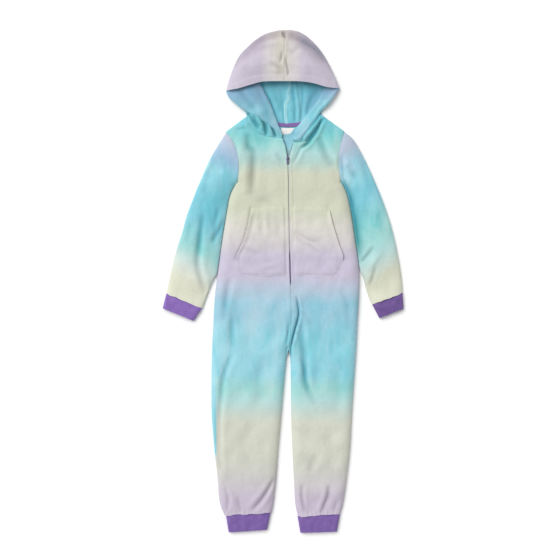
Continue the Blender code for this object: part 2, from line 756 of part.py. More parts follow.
def hood_back(side, rim, last):
    """Inside of the hood, from the crown to the back neck seam."""
    seam = along(curve(BACK_SEAM), np.linspace(0, 1, last + 1) ** 0.9)
    seam[:, 0] += SIGN[side] * SEAM / 2
    neck = halved(shifted(neck_back(side), SIGN[side] * SEAM / 2))
    neck[0] = (seam[-1, 0], seam[-1, 1] + SEAM / 2)
    neck[-1] = rim[-1]
    top = along(curve(CROWN_TOP[side]), even(HOOD_COLUMNS))
    top[:, 0] += SIGN[side] * SEAM / 2
    rows = []
    for j, (a, b) in enumerate(zip(seam, rim)):
        length = np.linalg.norm(b - a)
        graded = np.concatenate([np.linspace(0, length - 9, HOOD_COLUMNS - 1), [length - 2.5, length]])
        blend = max(0.0, (j - (last - 4)) / 4)
        shares = (graded / length * (1 - blend) + even(HOOD_COLUMNS) * blend)[:, None]
        plan = a + (b - a) * shares
        bow = neck - (neck[0] + (neck[-1] - neck[0]) * even(HOOD_COLUMNS)[:, None])
        plan = plan + bow * max(0.0, 1 - (last - j) / 5)
        if j == last:
            plan = neck
        if j == 0:
            plan = top
        off = np.linalg.norm(plan - plan[-1], axis=1)
        rise = table(RIM_HEIGHT, j) - FLEECE / 2
        slope = np.clip(1 - off / table(LAPEL_WIDTH, j), 0, 1)
        z = FLEECE / 2 + rise * slope ** (2 if j < 8 else 1.3)
        if j == 0:
            z = np.full(len(plan), FOLD_EDGE)
        rows.append(np.column_stack([plan, z]))
    return np.array(rows)


def hood_crown(side, rim, back):
    """Outside of the crown, from its fold to the edge over the face."""
    seam = along(curve(CROWN_SEAM), even(8))
    seam[:, 0] += SIGN[side] * SEAM / 2
    arc = along(curve(FACE_ARC[side]), even(HOOD_COLUMNS))
    arc[0, 0] = seam[-1, 0]
    arc[-1] = rim[-1]
    straight = arc[0] + (arc[-1] - arc[0]) * even(HOOD_COLUMNS)[:, None]
    fold_line = np.vstack([back[0, :, :2], rim[1:]])
    rows = []
    for j, (a, b) in enumerate(zip(seam, rim)):
        length = np.linalg.norm(b - a)
        graded = np.concatenate([np.linspace(0, length - 9, HOOD_COLUMNS - 1), [length - 2.5, length]])
        plan = a + (b - a) * (graded / length)[:, None] + (arc - straight) * (j / 8) ** 1.5
        if j == 0:
            rows.append(back[0])
            continue
        off = reach(plan, fold_line)
        edge = table(RIM_HEIGHT, j)
        full = table(CROWN_HEIGHT, j / 8) - FLEECE / 2
        z = edge + (full - edge) * dome(off / 46)
        z = z + folded(plan, CROWN_FOLDS) * smooth(off / 14)
        rows.append(np.column_stack([plan, z]))
    rows = np.array(rows)
    rows[:, -1] = back[:9, -1]
    return rows


def hood_band(side, start, front_points, back):
    """Gathered front of the hood beside the neck seam, from its fold to the zip."""
    neck = front_points[-1 - NECK_STEPS:, -1][::-1].copy()
    neck[:, :2] = shifted(neck_front(side), SIGN[side] * SEAM / 2)[::-1]
    neck[0, :2] = start[-1]
    neck[0, 2] = back[-1, -1, 2]
    count = NECK_STEPS * BAND_STEPS
    seam = np.stack([np.interp(even(count), even(NECK_STEPS), neck[:, k]) for k in range(3)], axis=-1)
    rim = along(curve(BAND_RIM[side]), even(count))
    rim[0] = start[0]
    rows = [back[12:, -1]]
    for r in range(1, count + 1):
        a = r / count
        lift = back[12, -1, 2] * (1 - smooth(a / 0.3)) + (seam[r, 2] + 5.5) * smooth(a / 0.3)
        lift -= 2.0 * smooth((a - 0.75) / 0.25)
        row = []
        for share in even(3):
            at = rim[r] + (seam[r, :2] - rim[r]) * share
            z = lift + (seam[r, 2] - lift) * share ** 1.4
            for gather in GATHERS[side]:
                near = math.exp(-((a - gather.at) / gather.width) ** 2)
                z += gather.rise * near * math.sin(math.pi * share ** 0.8) ** 0.7
            row.append((*at, z))
        rows.append(np.array(row))
    return np.array(rows)


def add_hood(side, back, top, band):
    """Joins the three patches on the edges that they share."""
    rows, columns = back.shape[:2]
    back_index = np.arange(rows * columns).reshape(rows, columns)
    used = rows * columns
    top_index = np.zeros(top.shape[:2], int)
    top_index[0] = back_index[0]
    top_index[:, -1] = back_index[:9, -1]
    fresh = top[1:, :-1]
    top_index[1:, :-1] = used + np.arange(fresh.shape[0] * fresh.shape[1]).reshape(fresh.shape[:2])
    used += fresh.shape[0] * fresh.shape[1]
    band_index = np.zeros(band.shape[:2], int)
    band_index[0] = back_index[12:, -1]
    band_index[1:] = used + np.arange((band.shape[0] - 1) * band.shape[1]).reshape(-1, band.shape[1])
    points = np.vstack([back.reshape(-1, 3), fresh.reshape(-1, 3), band[1:].reshape(-1, 3)])
    turn = 1 if side == "left" else -1
    quads = [grid_quads(back_index)[:, ::turn], grid_quads(top_index)[:, ::-turn],
             grid_quads(band_index)[:, ::-turn]]
    sheet = Sheet(points, np.vstack(quads))
    normals = point_normals(sheet)
    for row in (back_index[:, 0], top_index[:, 0], back_index[-1], band_index[:, -1]):
        pin_upright(normals, points, row)
    add_cloth(f"hood_{side}", sheet, FLEECE, normals, "plush_lavender")


# ================================================================ pockets
def pocket(side):
    """A patch on the front, sewn at top, foot and zip, open at its slanted edge."""
    out = along(curve(POCKET_OUT[side]), even(7))
    centre = centre_line()
    inner_y = np.linspace(POCKET_FOOT, POCKET_TOP, 8)
    inner = np.column_stack([np.interp(inner_y, centre[:, 1], centre[:, 0]), inner_y])
    inner[:, 0] += SIGN[side] * POCKET_INSET
    shares = even(7)[:, None]
    plan = np.array([a + (b - a) * shares for a, b in zip(out, inner)])
    z = front_height(plan, side) + FLEECE + POCKET_LIFT
    rows = np.sin(np.pi * even(7))[:, None]
    z += POCKET_MOUTH * rows * np.exp(-even(7) * 5)[None, :]
    sheet, index = grid_sheet(np.dstack([plan, z]))
    sheet = face_up(sheet)
    add_cloth(f"pocket_{side}", sheet, FLEECE, point_normals(sheet), "plush_cream")


# ================================================================ zip, tape and label
def loft(name, rings, finish, origin=(0, 0, 0)):
    """A solid through rings of points, with flat ends."""
    rows, count = rings.shape[:2]
    faces = []
    for r in range(rows - 1):
        for k in range(count):
            n = (k + 1) % count
            faces.append((r * count + k, r * count + n, (r + 1) * count + n, (r + 1) * count + k))
    faces.append(tuple(range(count))[::-1])
    faces.append(tuple((rows - 1) * count + k for k in range(count)))
    points = rings.reshape(-1, 3)
    made = add_object(name, points, faces, finish, origin)
    bm = bmesh.new()
    bm.from_mesh(made.data)
    bmesh.ops.recalc_face_normals(bm, faces=bm.faces)
    bm.to_mesh(made.data)
    bm.free()
    return made


def zip_half(side, front_points):
    """Zip tape under the front's edge, with its half of the coil in the gap."""
    first = next(r for r in range(LEG_ROWS["front"], len(front_points))
                 if front_points[r, -1, 1] > ZIP_BOTTOM)
    last = len(front_points) - 1 - NECK_STEPS
    nodes = front_points[first:last + 1, -1]
    edge = nodes[:, :2].copy()
    closed = edge[:, 1] <= SLIDER_Y
    gap = np.where(closed, ZIP_GAP - SEAM / 2, 2.6)
    inward = normals_of(edge) * -SIGN[side]
    inward = np.where((inward[:, :1] * SIGN[side]) > 0, inward, -inward)
    nodes[-1] += (nodes[-2] - nodes[-1]) * 0.12
    rings = []
    for k, node in enumerate(nodes):
        base = node[:2] - inward[k] * gap[k]
        bead = node[2] + FLEECE / 2 - 0.8
        under = [node[2] - ZIP_DROP]
        for off in (TAPE_WIDTH / 2, TAPE_WIDTH):
            here = front_height((base + inward[k] * off)[None], side)[0]
            under.append(min(here, under[-1] + ZIP_DROP + 1.0) - ZIP_DROP)
        profile = (
            (0, under[0] - TAPE), (0, bead), (COIL, bead), (COIL, under[0]),
            (TAPE_WIDTH / 2, under[1]), (TAPE_WIDTH, under[2]),
            (TAPE_WIDTH, under[2] - TAPE), (TAPE_WIDTH / 2, under[1] - TAPE),
        )
        rings.append([(*(base + inward[k] * off), z) for off, z in profile])
    loft(f"zip_{side}", np.array(rings), "zip")


def slab(name, plan_top, plan_foot, low, thick, finish):
    """A thin strip between two rows of plan points."""
    rings = []
    for a, b in zip(plan_top, plan_foot):
        rings.append([(*a, low), (*b, low), (*b, low + thick), (*a, low + thick)])
    loft(name, np.array(rings), finish)


def neck_tape():
    seam = np.vstack([neck_back("left")[:0:-1], neck_back("right")])
    line = along(curve(seam), np.linspace(0.2, 0.8, 9))
    slab("neck_tape", line + (0, 10.5), line + (0, 0.6), FLEECE + SEAM, TAPE, "tape")


def neck_label():
    top = np.column_stack([np.linspace(-5, 32, 3), np.full(3, 396.5)])
    slab("neck_label", top, top - (0, 16.5), FLEECE + SEAM, 0.6, "label")


def slider_place():
    """Middle of the slider, on the cloth on either side of the coil."""
    x = np.interp(SLIDER_Y, [312, 332], [12, 13.5])
    beside = np.array([[x - 4, SLIDER_Y - 4], [x + 4, SLIDER_Y - 4]])
    z = max(front_height(beside[:1], "left")[0], front_height(beside[1:], "right")[0])
    return x, z + FLEECE / 2 + SEAM


def slider_plan():
    """Outline of the slider's plate: wide shoulders, narrow foot."""
    wide, long = SLIDER_SIZE[0] / 2, SLIDER_SIZE[1] / 2
    return np.array([(-wide, long * 0.5), (-wide * 0.55, long), (wide * 0.55, long),
                     (wide, long * 0.5), (wide * 0.72, -long), (-wide * 0.72, -long)])


def zip_slider():
    x, z = slider_place()
    plan = slider_plan()
    thick = SLIDER_SIZE[2]
    rings = [[(x + px, SLIDER_Y + py, z + dz) for px, py in plan * s]
             for dz, s in ((0, 0.9), (0.35, 1), (thick - 0.35, 1), (thick, 0.88))]
    made = loft("zip_slider", np.array(rings), "zip")
    bridge = bridge_object(x, z + thick - 0.3)
    joined = made.modifiers.new("bridge", "BOOLEAN")
    joined.operation = "UNION"
    joined.solver = "EXACT"
    joined.object = bridge


def bridge_object(x, z):
    """The arch that the pull hangs from. It is hidden, and the union takes it in."""
    wide, long, high = BRIDGE
    outline = [(-long / 2, 0), (-long / 2, high * 0.55), (-long / 2 + 1.1, high),
               (long / 2 - 1.1, high), (long / 2, high * 0.55), (long / 2, 0),
               (long / 2 - BRIDGE_WALL, 0), (long / 2 - BRIDGE_WALL, high * 0.5),
               (long / 2 - 1.5, high - BRIDGE_WALL), (-long / 2 + 1.5, high - BRIDGE_WALL),
               (-long / 2 + BRIDGE_WALL, high * 0.5), (-long / 2 + BRIDGE_WALL, 0)]
    rings = [[(x + sx * wide / 2, SLIDER_Y + py, z + pz) for py, pz in outline] for sx in (-1, 1)]
    made = loft("bridge_guide", np.array(rings), "zip")
    made.hide_render = True
    made.display_type = "WIRE"
    return made


def pull_axis():
    x, z = slider_place()
    return np.array([x, SLIDER_Y, z + SLIDER_SIZE[2] + 1.45])


def zip_pull():
    """Pull tab with an eye round the bridge, hinged on the bar at its head."""
    axis = pull_axis()
    wide, long, thick = PULL_SIZE
    tip = np.array([axis[0], axis[1] - long])
    floor = front_height(np.array([tip + (3, 0)]), "right")[0] + FLEECE / 2
    drop = math.asin((axis[2] - thick / 2 - floor - SEAM) / long)
    half, eye = wide / 2, wide / 2 - PULL_ARM
    bar = 0.7
    outer = [(-half, bar), (half, bar), (half, -long + 1.6), (half - 1.4, -long),
             (-half + 1.4, -long), (-half, -long + 1.6)]
    inner = [(-eye, -bar), (eye, -bar), (eye, -PULL_EYE), (-eye, -PULL_EYE)]
    # four closed strips round the eye and the tab below it, as one ring of faces
    plan = outer + inner
    points = []
    for dz in (-thick / 2, thick / 2):
        for px, py in plan:
            y = py * math.cos(drop) + dz * math.sin(drop)
            z = py * math.sin(drop) + dz * math.cos(drop)
            points.append((axis[0] + px, axis[1] + y, axis[2] + z))
    o, i = list(range(6)), list(range(6, 10))
    rim_pairs = [(o[0], o[1], i[1], i[0]), (o[1], o[2], i[2], i[1]), (o[5], o[0], i[0], i[3]),
                 (o[2], o[3], o[4], o[5], i[3], i[2])]
    n = len(plan)
    faces = [tuple(k + n for k in f) for f in rim_pairs] + [f[::-1] for f in rim_pairs]
    for loop, flip in ((o, False), (i, True)):
        for a, b in zip(loop, loop[1:] + loop[:1]):
            quad = (a, b, b + n, a + n)
            faces.append(quad[::-1] if flip else quad)
    made = add_object("zip_pull", points, faces, "zip", origin=tuple(axis))
    bm = bmesh.new()
    bm.from_mesh(made.data)
    bmesh.ops.recalc_face_normals(bm, faces=bm.faces)
    bm.to_mesh(made.data)
    bm.free()


# ================================================================ the garment
def clear_scene():
    for old in list(bpy.data.objects):
        bpy.data.objects.remove(old, do_unlink=True)


def build():
    clear_scene()
    for side in ("left", "right"):
        front = body_panel(side, "front")
        body_panel(side, "back")
        sleeve(side)
        hood(side, front)
        pocket(side)
        zip_half(side, front)
    for name, size in CUFFS.items():
        cuff(name, size)
    neck_tape()
    neck_label()
    zip_slider()
    zip_pull()


build()
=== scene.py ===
"""A child's hooded onesie pajama of dip-dyed plush fleece, laid flat on its back.

Tables and plan sizes below are millimetres in the garment's own frame: +Y towards the
hood, +Z up out of the front, "left" at -X. MM turns them to metres where a mesh is made.
"""

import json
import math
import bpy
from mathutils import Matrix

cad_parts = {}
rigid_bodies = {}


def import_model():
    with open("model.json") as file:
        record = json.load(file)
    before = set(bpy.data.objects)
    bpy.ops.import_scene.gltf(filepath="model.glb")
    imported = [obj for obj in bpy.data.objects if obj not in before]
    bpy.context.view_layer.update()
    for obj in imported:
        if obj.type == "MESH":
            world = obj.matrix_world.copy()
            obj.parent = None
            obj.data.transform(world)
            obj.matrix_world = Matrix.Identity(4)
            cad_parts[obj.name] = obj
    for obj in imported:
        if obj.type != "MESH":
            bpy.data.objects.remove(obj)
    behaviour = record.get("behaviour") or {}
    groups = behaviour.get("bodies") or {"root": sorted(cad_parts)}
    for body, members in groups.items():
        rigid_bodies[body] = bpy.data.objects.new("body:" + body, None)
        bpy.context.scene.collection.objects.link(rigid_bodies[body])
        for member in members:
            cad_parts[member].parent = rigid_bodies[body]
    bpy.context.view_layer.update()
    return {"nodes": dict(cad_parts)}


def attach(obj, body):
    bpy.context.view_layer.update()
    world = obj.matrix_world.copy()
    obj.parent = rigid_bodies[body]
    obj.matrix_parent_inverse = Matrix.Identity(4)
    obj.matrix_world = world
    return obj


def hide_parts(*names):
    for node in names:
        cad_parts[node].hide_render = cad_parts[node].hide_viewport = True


bl_info = {
    "name": "Plush onesie",
    "version": (1, 0, 0),
    "blender": (4, 5, 0),
    "location": "View3D > Sidebar > Onesie",
    "description": "Dresses the onesie's frame in plush cloth, rib, zip and stitching",
    "category": "Object",
}

from collections import namedtuple
from functools import cache

import bmesh
import bpy
import numpy as np
from bpy.props import FloatProperty, FloatVectorProperty, IntProperty, PointerProperty
from mathutils import Vector
from mathutils.bvhtree import BVHTree

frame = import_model()
MM = 0.001
SIDES = ("left", "right")
SIGN = {"left": -1, "right": 1}

# ------------------------------------------------------------ how the pieces lie
SEAM = 0.38  # gap between two pieces sewn together
LAY = 0.8  # gap between a sleeve and the side that it lies beside
BACK_EDGE = 3.4  # height of the back's edge, where it turns up to the side seam
FRONT_EDGE = 3.75
FOLD_EDGE = 3.6  # middle height of a sleeve's or the hood's folded edge
CURL = 7.0  # how far in from the side seam the back turns up
SIDE_ROUND = 24.0  # how far in from the side seam the front reaches full height
SLEEVE_ROUND = 26.0
TUCK_ROUND = 44.0  # the same where the sleeve lies beside the body
CUFF_HEIGHT = 11.6
CUFF_ROUND = 11.0
ZIP_GAP = 1.5  # half the gap between the fronts
ZIP_BOTTOM = -2.0
TAPE_WIDTH = 13.0
ZIP_DROP = 1.6  # from the middle of the front's wall down to the tape
COIL_LIFT = 1.25
COIL_TOOTH = (2.5, 0.52)  # length across the zip, and radius
POCKET_LIFT = 0.55
POCKET_MOUTH = 2.2  # how far the pocket's free edge stands up
POCKET_ROWS = (9.0, 14.0)  # stitches beside the hand opening
POCKET_TURN = 52.0  # the hand opening runs from here to the top
MOUTH_DIP = {"left": 3.0, "right": 1.2}  # how far the front sinks beside the hand opening
SLIDER_Y = 316.0
FACING = {"left": 8.6, "right": 11.4}  # from the zip's edge to the stitches that hold its facing
FACING_FOOT = -81.0
FACING_ROLL = 4.2  # from the zip's edge to the second row on the right
LOWEST = 3.3  # lowest middle height of upper cloth, clear of the cloth under it
FULL_SHADE_DEPTH = 7.5  # depth of a trough whose painted shade is full
ARM_BLEND = 34  # how far from the armhole body and sleeve still share a height
LAPEL_STAND = {"left": 6.5, "right": 5.0}  # height of the lapel's inner edge over the hood's back
LAPEL_BULGE = {"left": 4.2, "right": 2.5}
LAPEL_AREA = {"left": 0.0105, "right": 0.0065}  # square metres that show
ROLL = 1.8  # how far the hood's rim stands up where it turns
LINING_LOW, LINING_HIGH = 402, 640  # the part of the hood's inside that lies in folds
TAPE_WALL = 0.7  # of the zip's tapes and of the neck tape
LABEL_WALL = 0.5
GUARD_WALL = 0.8
POCKET_THIN, LAPEL_THIN = 0.3, 0.2  # how much thinner than the plush elsewhere
NECK_LOW = 2.6  # underside of the neck's tape and label
TAPE_SPAN = (0.2, 0.8)  # shares of the neck seam that the tape covers
TAPE_EDGES = (10.5, 0.6)  # how far its edges lie over the seam
LABEL_SIDES, LABEL_TOP, LABEL_LONG = (-5, 32), 396.5, 16.5
STITCH_TOP = 352  # upper end of the stitches beside the zip

# ------------------------------------------------------------ edges of the pieces
Level = namedtuple("Level", "y left_side left_inner right_inner right_side")
BODY = (
    Level(-612, -150, -34, 39, 145),
    Level(-588, -161, -27, 33, 153),
    Level(-556, -167, -23, 30, 159),
    Level(-512, -170, -18, 28, 165),
    Level(-440, -178, -13, 24, 173),
    Level(-350, -185, -5, 21, 178),
    Level(-260, -186, 3, 20, 184),
    Level(-205, -185, 8, 19, 188),
    Level(-173, -184, 12, 17, 190),
    Level(-110, -181, 21, 21, 193),
    Level(-40, -177, 20, 20, 197),
    Level(30, -168, 18, 18, 197),
    Level(110, -157, 16, 16, 186),
    Level(170, -147, 15, 15, 177),
    Level(215, -139, 14, 14, 168),
    Level(240, -129, 14, 14, 159),
    Level(256, -118, 14, 14, 150),
)
CROTCH_ROW = 8
CROTCH_X = 14.5
Ankle = namedtuple("Ankle", "side_y inner_y")
ANKLE = {"left": Ankle(-607, -600), "right": Ankle(-604, -610)}
ARMHOLE = {
    "left": ((-118, 256), (-115, 282), (-116, 314), (-122, 342), (-134, 367), (-148, 385)),
    "right": ((150, 256), (145, 282), (144, 314), (147, 345), (153, 368), (159, 386)),
}
ZIP_TOP = ((14, 256), (13, 285), (12, 312))
V_EDGE = {
    "left": ((12, 312), (9, 332), (4, 356), (-3, 371)),
    "right": ((12, 312), (18, 331), (23, 346), (27, 359)),
}
NECK_FRONT = {
    "left": ((-3, 371), (-34, 373), (-57, 380), (-74, 390), (-87, 407), (-93, 427)),
    "right": ((27, 359), (52, 361), (76, 371), (90, 388), (97, 410), (97, 432)),
}
NECK_BACK = {
    "left": ((12, 398), (-21, 402), (-57, 412), (-93, 427)),
    "right": ((12, 398), (44, 402), (73, 415), (97, 432)),
}
SLEEVE_OUT = {
    "left": ((-148, 385), (-166, 356), (-190, 315), (-213, 263), (-231, 219),
             (-249, 171), (-263, 122), (-278, 76), (-292, 20), (-303, -32)),
    "right": ((159, 386), (181, 368), (203, 332), (223, 291), (243, 245),
              (263, 195), (283, 132), (299, 59), (308, 0), (310, -30)),
}
SLEEVE_IN = {
    "left": ((-171, 18), (-183, -3), (-194, -30), (-209, -71)),
    "right": ((201, 22), (208, 8), (213, -12), (220, -37), (230, -62)),
}
Cuff = namedtuple("Cuff", "top_a top_b foot_a foot_b")
CUFFS = {
    "wrist_cuff_left": Cuff((-303, -32), (-210, -71), (-313, -71), (-232, -104)),
    "wrist_cuff_right": Cuff((231, -62), (310, -30), (249, -97), (313, -72)),
    "ankle_cuff_left": Cuff((-149, -607), (-32, -600), (-142, -652), (-41, -645)),
    "ankle_cuff_right": Cuff((37, -610), (148, -604), (44, -653), (140, -650)),
}
CROWN_SEAM = ((6, 650), (3, 610), (2, 570), (3, 515))
BACK_SEAM = ((6, 650), (12, 580), (18, 514), (13, 487), (13, 472), (7, 458), (7, 425), (12, 398))
CROWN_TOP = {"left": ((6, 650), (-12, 649), (-29, 645)), "right": ((6, 650), (21, 650), (36, 647))}
CROWN_SIDE = {
    "left": ((-29, 645), (-51, 636), (-72, 622), (-91, 605), (-108, 588), (-119, 570),
             (-129, 547), (-139, 518), (-145, 492)),
    "right": ((36, 647), (56, 636), (79, 616), (98, 593), (112, 570), (123, 549),
              (135, 522), (144, 499)),
}
FACE_ARC = {
    "left": ((3, 515), (-18, 515), (-52, 514), (-81, 506), (-112, 497), (-145, 492)),
    "right": ((3, 515), (44, 514), (75, 510), (106, 501), (124, 499), (144, 499)),
}
LAPEL_RIM = {
    "left": ((-145, 492), (-141, 480), (-131, 470), (-115, 456), (-95, 440)),
    "right": ((144, 499), (132, 481), (115, 459), (99, 444)),
}
BAND_RIM = {
    "left": ((-95, 440), (-76, 431), (-53, 417), (-28, 399), (-3, 382)),
    "right": ((99, 444), (78, 411), (63, 390), (46, 371), (30, 362)),
}
VALLEY = {  # inner edge of the lapel, where it rolls up off the back of the hood
    "left": ((-70, 530), (-56, 503), (-43, 478), (-31, 453), (-22, 427), (-13, 403), (-5, 384)),
    "right": ((114, 522), (105, 495), (93, 472), (79, 451), (62, 429), (45, 408), (32, 388),
              (27, 366)),
}
GUARD_FOOT = ((9, 318), (14, 317), (20, 318))
GUARD_TOP = ((-8, 379), (4, 380), (19, 383), (28, 394), (42, 405))
POCKET_OUT = {
    "left": ((-108, 12), (-125, 52), (-101, 106), (-89, 152), (-83, 187)),
    "right": ((133, 8), (155, 56), (144, 95), (128, 147), (118, 190)),
}
POCKET_TOP = 194
POCKET_FOOT = 11
POCKET_INSET = 7

# ------------------------------------------------------------ heights over both layers
Height = namedtuple("Height", "at over_all")
BODY_HEIGHT = (
    Height(-612, 11.0), Height(-588, 14.0), Height(-550, 16.5), Height(-400, 17.5),
    Height(-173, 18.0), Height(0, 19.5), Height(170, 19.0), Height(256, 16.5),
    Height(312, 13.5), Height(360, 11.5), Height(430, 10.5),
)
SLEEVE_HEIGHT = (
    Height(0.0, 14.5), Height(0.15, 15.5), Height(0.5, 16.0), Height(0.88, 15.0), Height(1.0, 11.2),
)
CROWN_HEIGHT = (Height(0.0, 12.0), Height(0.3, 24.0), Height(0.7, 29.0), Height(1.0, 24.0))
RIM_HEIGHT = (
    Height(0, 3.6), Height(5, 3.8), Height(7, 5.5), Height(8, 8.0), Height(10, 10.0),
    Height(11, 9.5), Height(12, 7.5), Height(15, 3.6),
)
LAPEL_WIDTH = (
    Height(0, 7.0), Height(6, 9.0), Height(8, 40.0), Height(10, 62.0), Height(12, 40.0),
    Height(15, 7.0),
)

# ------------------------------------------------------------ folds, in order down the garment
# rise below 0 is a trough; lean is the side of the run, left 1 or right -1, with a raised lip
Fold = namedtuple("Fold", "rise width lean path")
FRONT_FOLDS = (
    Fold(-7.2, 9.5, -1, ((-91, 380), (-90, 350), (-77, 330), (-76, 300), (-77, 262), (-80, 222))),
    Fold(-3.0, 14, 1, ((-98, 318), (-92, 280), (-94, 236))),
    Fold(2.0, 9, 0, ((-106, 350), (-99, 300), (-100, 250), (-103, 220))),
    Fold(-2.4, 5, 1, ((-121, 391), (-104, 394), (-92, 393))),
    Fold(-5.2, 10, 1, ((94, 372), (112, 326), (131, 292))),
    Fold(2.4, 12, 0, ((118, 376), (134, 330))),
    Fold(-3.6, 4.4, 1, ((76, 362), (59, 352), (46, 343), (41, 332), (33, 316), (27, 304))),
    Fold(-2.2, 6, -1, ((-18, 329), (-8, 316), (0, 306))),
    Fold(-2.2, 14, 0, ((-82, 226), (-52, 214), (-22, 222))),
    Fold(-1.6, 8, 1, ((-66, 208), (-28, 200))),
    Fold(1.8, 16, 0, ((-40, 290), (-20, 250), (-16, 220))),
    Fold(1.6, 16, 0, ((66, 300), (84, 250), (76, 214))),
    Fold(-3.8, 8, 1, ((-140, 2), (-149, -60), (-151, -106))),
    Fold(-3.6, 8, -1, ((-134, -66), (-133, -120), (-132, -174))),
    Fold(-2.2, 9, 0, ((150, -20), (168, -70), (170, -130))),
    Fold(-9.5, 3.4, 1, ((35, -40), (40, -72), (40, -92), (30, -130), (22, -164), (18, -200),
                        (16, -224))),
    Fold(3.0, 7, 0, ((46, -78), (58, -98), (66, -108))),
    Fold(-4.4, 3.6, -1, ((15, -108), (13, -134), (9, -162))),
    Fold(-5.2, 9, 1, ((44, -104), (51, -170), (57, -220), (55, -259), (68, -289), (86, -324))),
    Fold(-3.6, 6, 1, ((48, -200), (57, -240), (66, -282))),
    Fold(-4.6, 8, 1, ((-133, -190), (-155, -249), (-161, -299), (-166, -349), (-167, -440),
                      (-162, -490))),
    Fold(-2.2, 12, -1, ((-52, -196), (-66, -262), (-61, -316))),
    Fold(-2.0, 14, 1, ((130, -230), (141, -300), (134, -352))),
    Fold(-1.6, 14, -1, ((-92, -372), (-101, -420), (-95, -466))),
    Fold(-1.8, 14, 1, ((118, -398), (126, -446), (120, -492))),
    Fold(1.8, 20, 0, ((-100, -130), (-110, -200), (-104, -280))),
    Fold(1.6, 20, 0, ((104, -150), (112, -230), (106, -300))),
    Fold(-6.0, 5.6, 1, ((-20, -508), (-51, -560), (-77, -592))),
    Fold(3.0, 8, 0, ((-38, -522), (-68, -562), (-92, -588))),
    Fold(-3.2, 5.5, 1, ((-150, -536), (-142, -566), (-146, -596))),
    Fold(-2.4, 6, -1, ((-117, -560), (-108, -600))),
    Fold(-5.4, 5.6, -1, ((119, -530), (117, -556), (108, -580), (100, -602))),
    Fold(-4.4, 4.8, 1, ((49, -528), (50, -566), (58, -600))),
    Fold(-3.0, 4.2, 0, ((58, -584), (66, -598), (64, -604))),
    Fold(-2.6, 10, 1, ((84, -450), (68, -496))),
    Fold(-2.2, 6, -1, ((140, -566), (132, -600))),
)
ROLLED = Fold(  # where the back rolls round to the front beside the left leg
    -1.8, 3.2, 0, ((-175, -250), (-175.5, -300), (-175, -350), (-171, -405), (-169, -458)))
BACK_FOLDS = (  # the underside's creases rise off what it lies on
    Fold(1.3, 9, 0, ((-95, 340), (-60, 300), (-30, 230))),
    Fold(1.1, 8, 0, ((100, 335), (70, 280), (52, 210))),
    Fold(1.4, 10, 0, ((-120, 60), (-60, 40), (20, 52))),
    Fold(1.2, 9, 0, ((150, 20), (90, 6), (36, 22))),
    Fold(1.5, 9, 0, ((-40, -90), (-70, -170), (-72, -250))),
    Fold(1.4, 9, 0, ((70, -100), (92, -180), (90, -270))),
    Fold(1.2, 8, 0, ((-128, -300), (-120, -380), (-132, -450))),
    Fold(1.2, 8, 0, ((130, -330), (118, -410), (126, -470))),
    Fold(1.0, 6, 0, ((-60, -540), (-84, -592))),
    Fold(1.0, 6, 0, ((70, -545), (86, -596))),
)
SLEEVE_FOLDS = (
    Fold(-6.0, 8.0, 1, ((-207, 172), (-217, 96), (-221, 46), (-213, 6), (-198, -34))),
    Fold(-3.6, 6.0, 1, ((-182, 100), (-165, 132), (-150, 159))),
    Fold(3.2, 10, 0, ((-160, 284), (-133, 250))),
    Fold(2.6, 12, 0, ((-190, 262), (-152, 216))),
    Fold(-2.2, 9, -1, ((-172, 318), (-196, 270), (-206, 226))),
    Fold(-1.8, 9, 1, ((-238, 150), (-252, 96))),
    Fold(-3.0, 6, 0, ((-168, 190), (-176, 140), (-182, 96))),
    Fold(-3.4, 7, 1, ((150, 326), (152, 297), (160, 268))),
    Fold(-4.6, 8, -1, ((166, 298), (178, 282), (190, 262))),
    Fold(-6.0, 10, 0, ((150, 262), (160, 240), (170, 214), (176, 186))),
    Fold(2.6, 9, 0, ((166, 312), (184, 280))),
    Fold(-9.4, 16, 0, ((150, 256), (172, 192), (185, 131), (192, 88), (197, 48))),
    Fold(-2.4, 9, 1, ((196, 330), (216, 276), (226, 236))),
    Fold(-2.0, 9, -1, ((246, 176), (262, 118))),
    Fold(-3.8, 5.2, 1, ((203, 46), (218, 64), (235, 86))),
    Fold(-3.8, 5.0, 1, ((226, -12), (234, 12), (240, 34))),
    Fold(3.0, 7, 0, ((220, 28), (248, 68))),
)
CROWN_FOLDS = (
    Fold(-9.0, 3.6, 0, ((0, 644), (1, 639), (3, 633), (6, 628))),
    Fold(2.4, 8, 0, ((16, 640), (5, 618), (6, 590))),
    Fold(-4.6, 3.6, 1, ((-2, 590), (-4, 574), (-7, 560))),
    Fold(-4.4, 3.2, -1, ((7, 576), (10, 558), (14, 536), (12, 526))),
    Fold(-3.6, 6, 1, ((-33, 562), (-17, 552), (-7, 544), (0, 530))),
    Fold(2.0, 6, 0, ((-26, 548), (-12, 538))),
    Fold(-2.8, 7, 0, ((20, 582), (34, 594), (46, 600))),
    Fold(-7.2, 8.5, 0, ((16, 638), (44, 624), (72, 608), (98, 588), (114, 566))),
    Fold(2.4, 9, 0, ((12, 608), (48, 592), (84, 566), (106, 540))),
    Fold(2.4, 8, 0, ((-70, 604), (-40, 612), (-12, 616))),
    Fold(-4.2, 11, 0, ((-8, 636), (-44, 626), (-84, 602))),
    Fold(-2.0, 9, 0, ((-60, 598), (-20, 602))),
    Fold(1.8, 16, 0, ((-60, 580), (-82, 536))),
    Fold(-1.6, 14, 0, ((-96, 560), (-84, 524))),
    Fold(1.6, 12, 0, ((50, 560), (60, 530))),
)
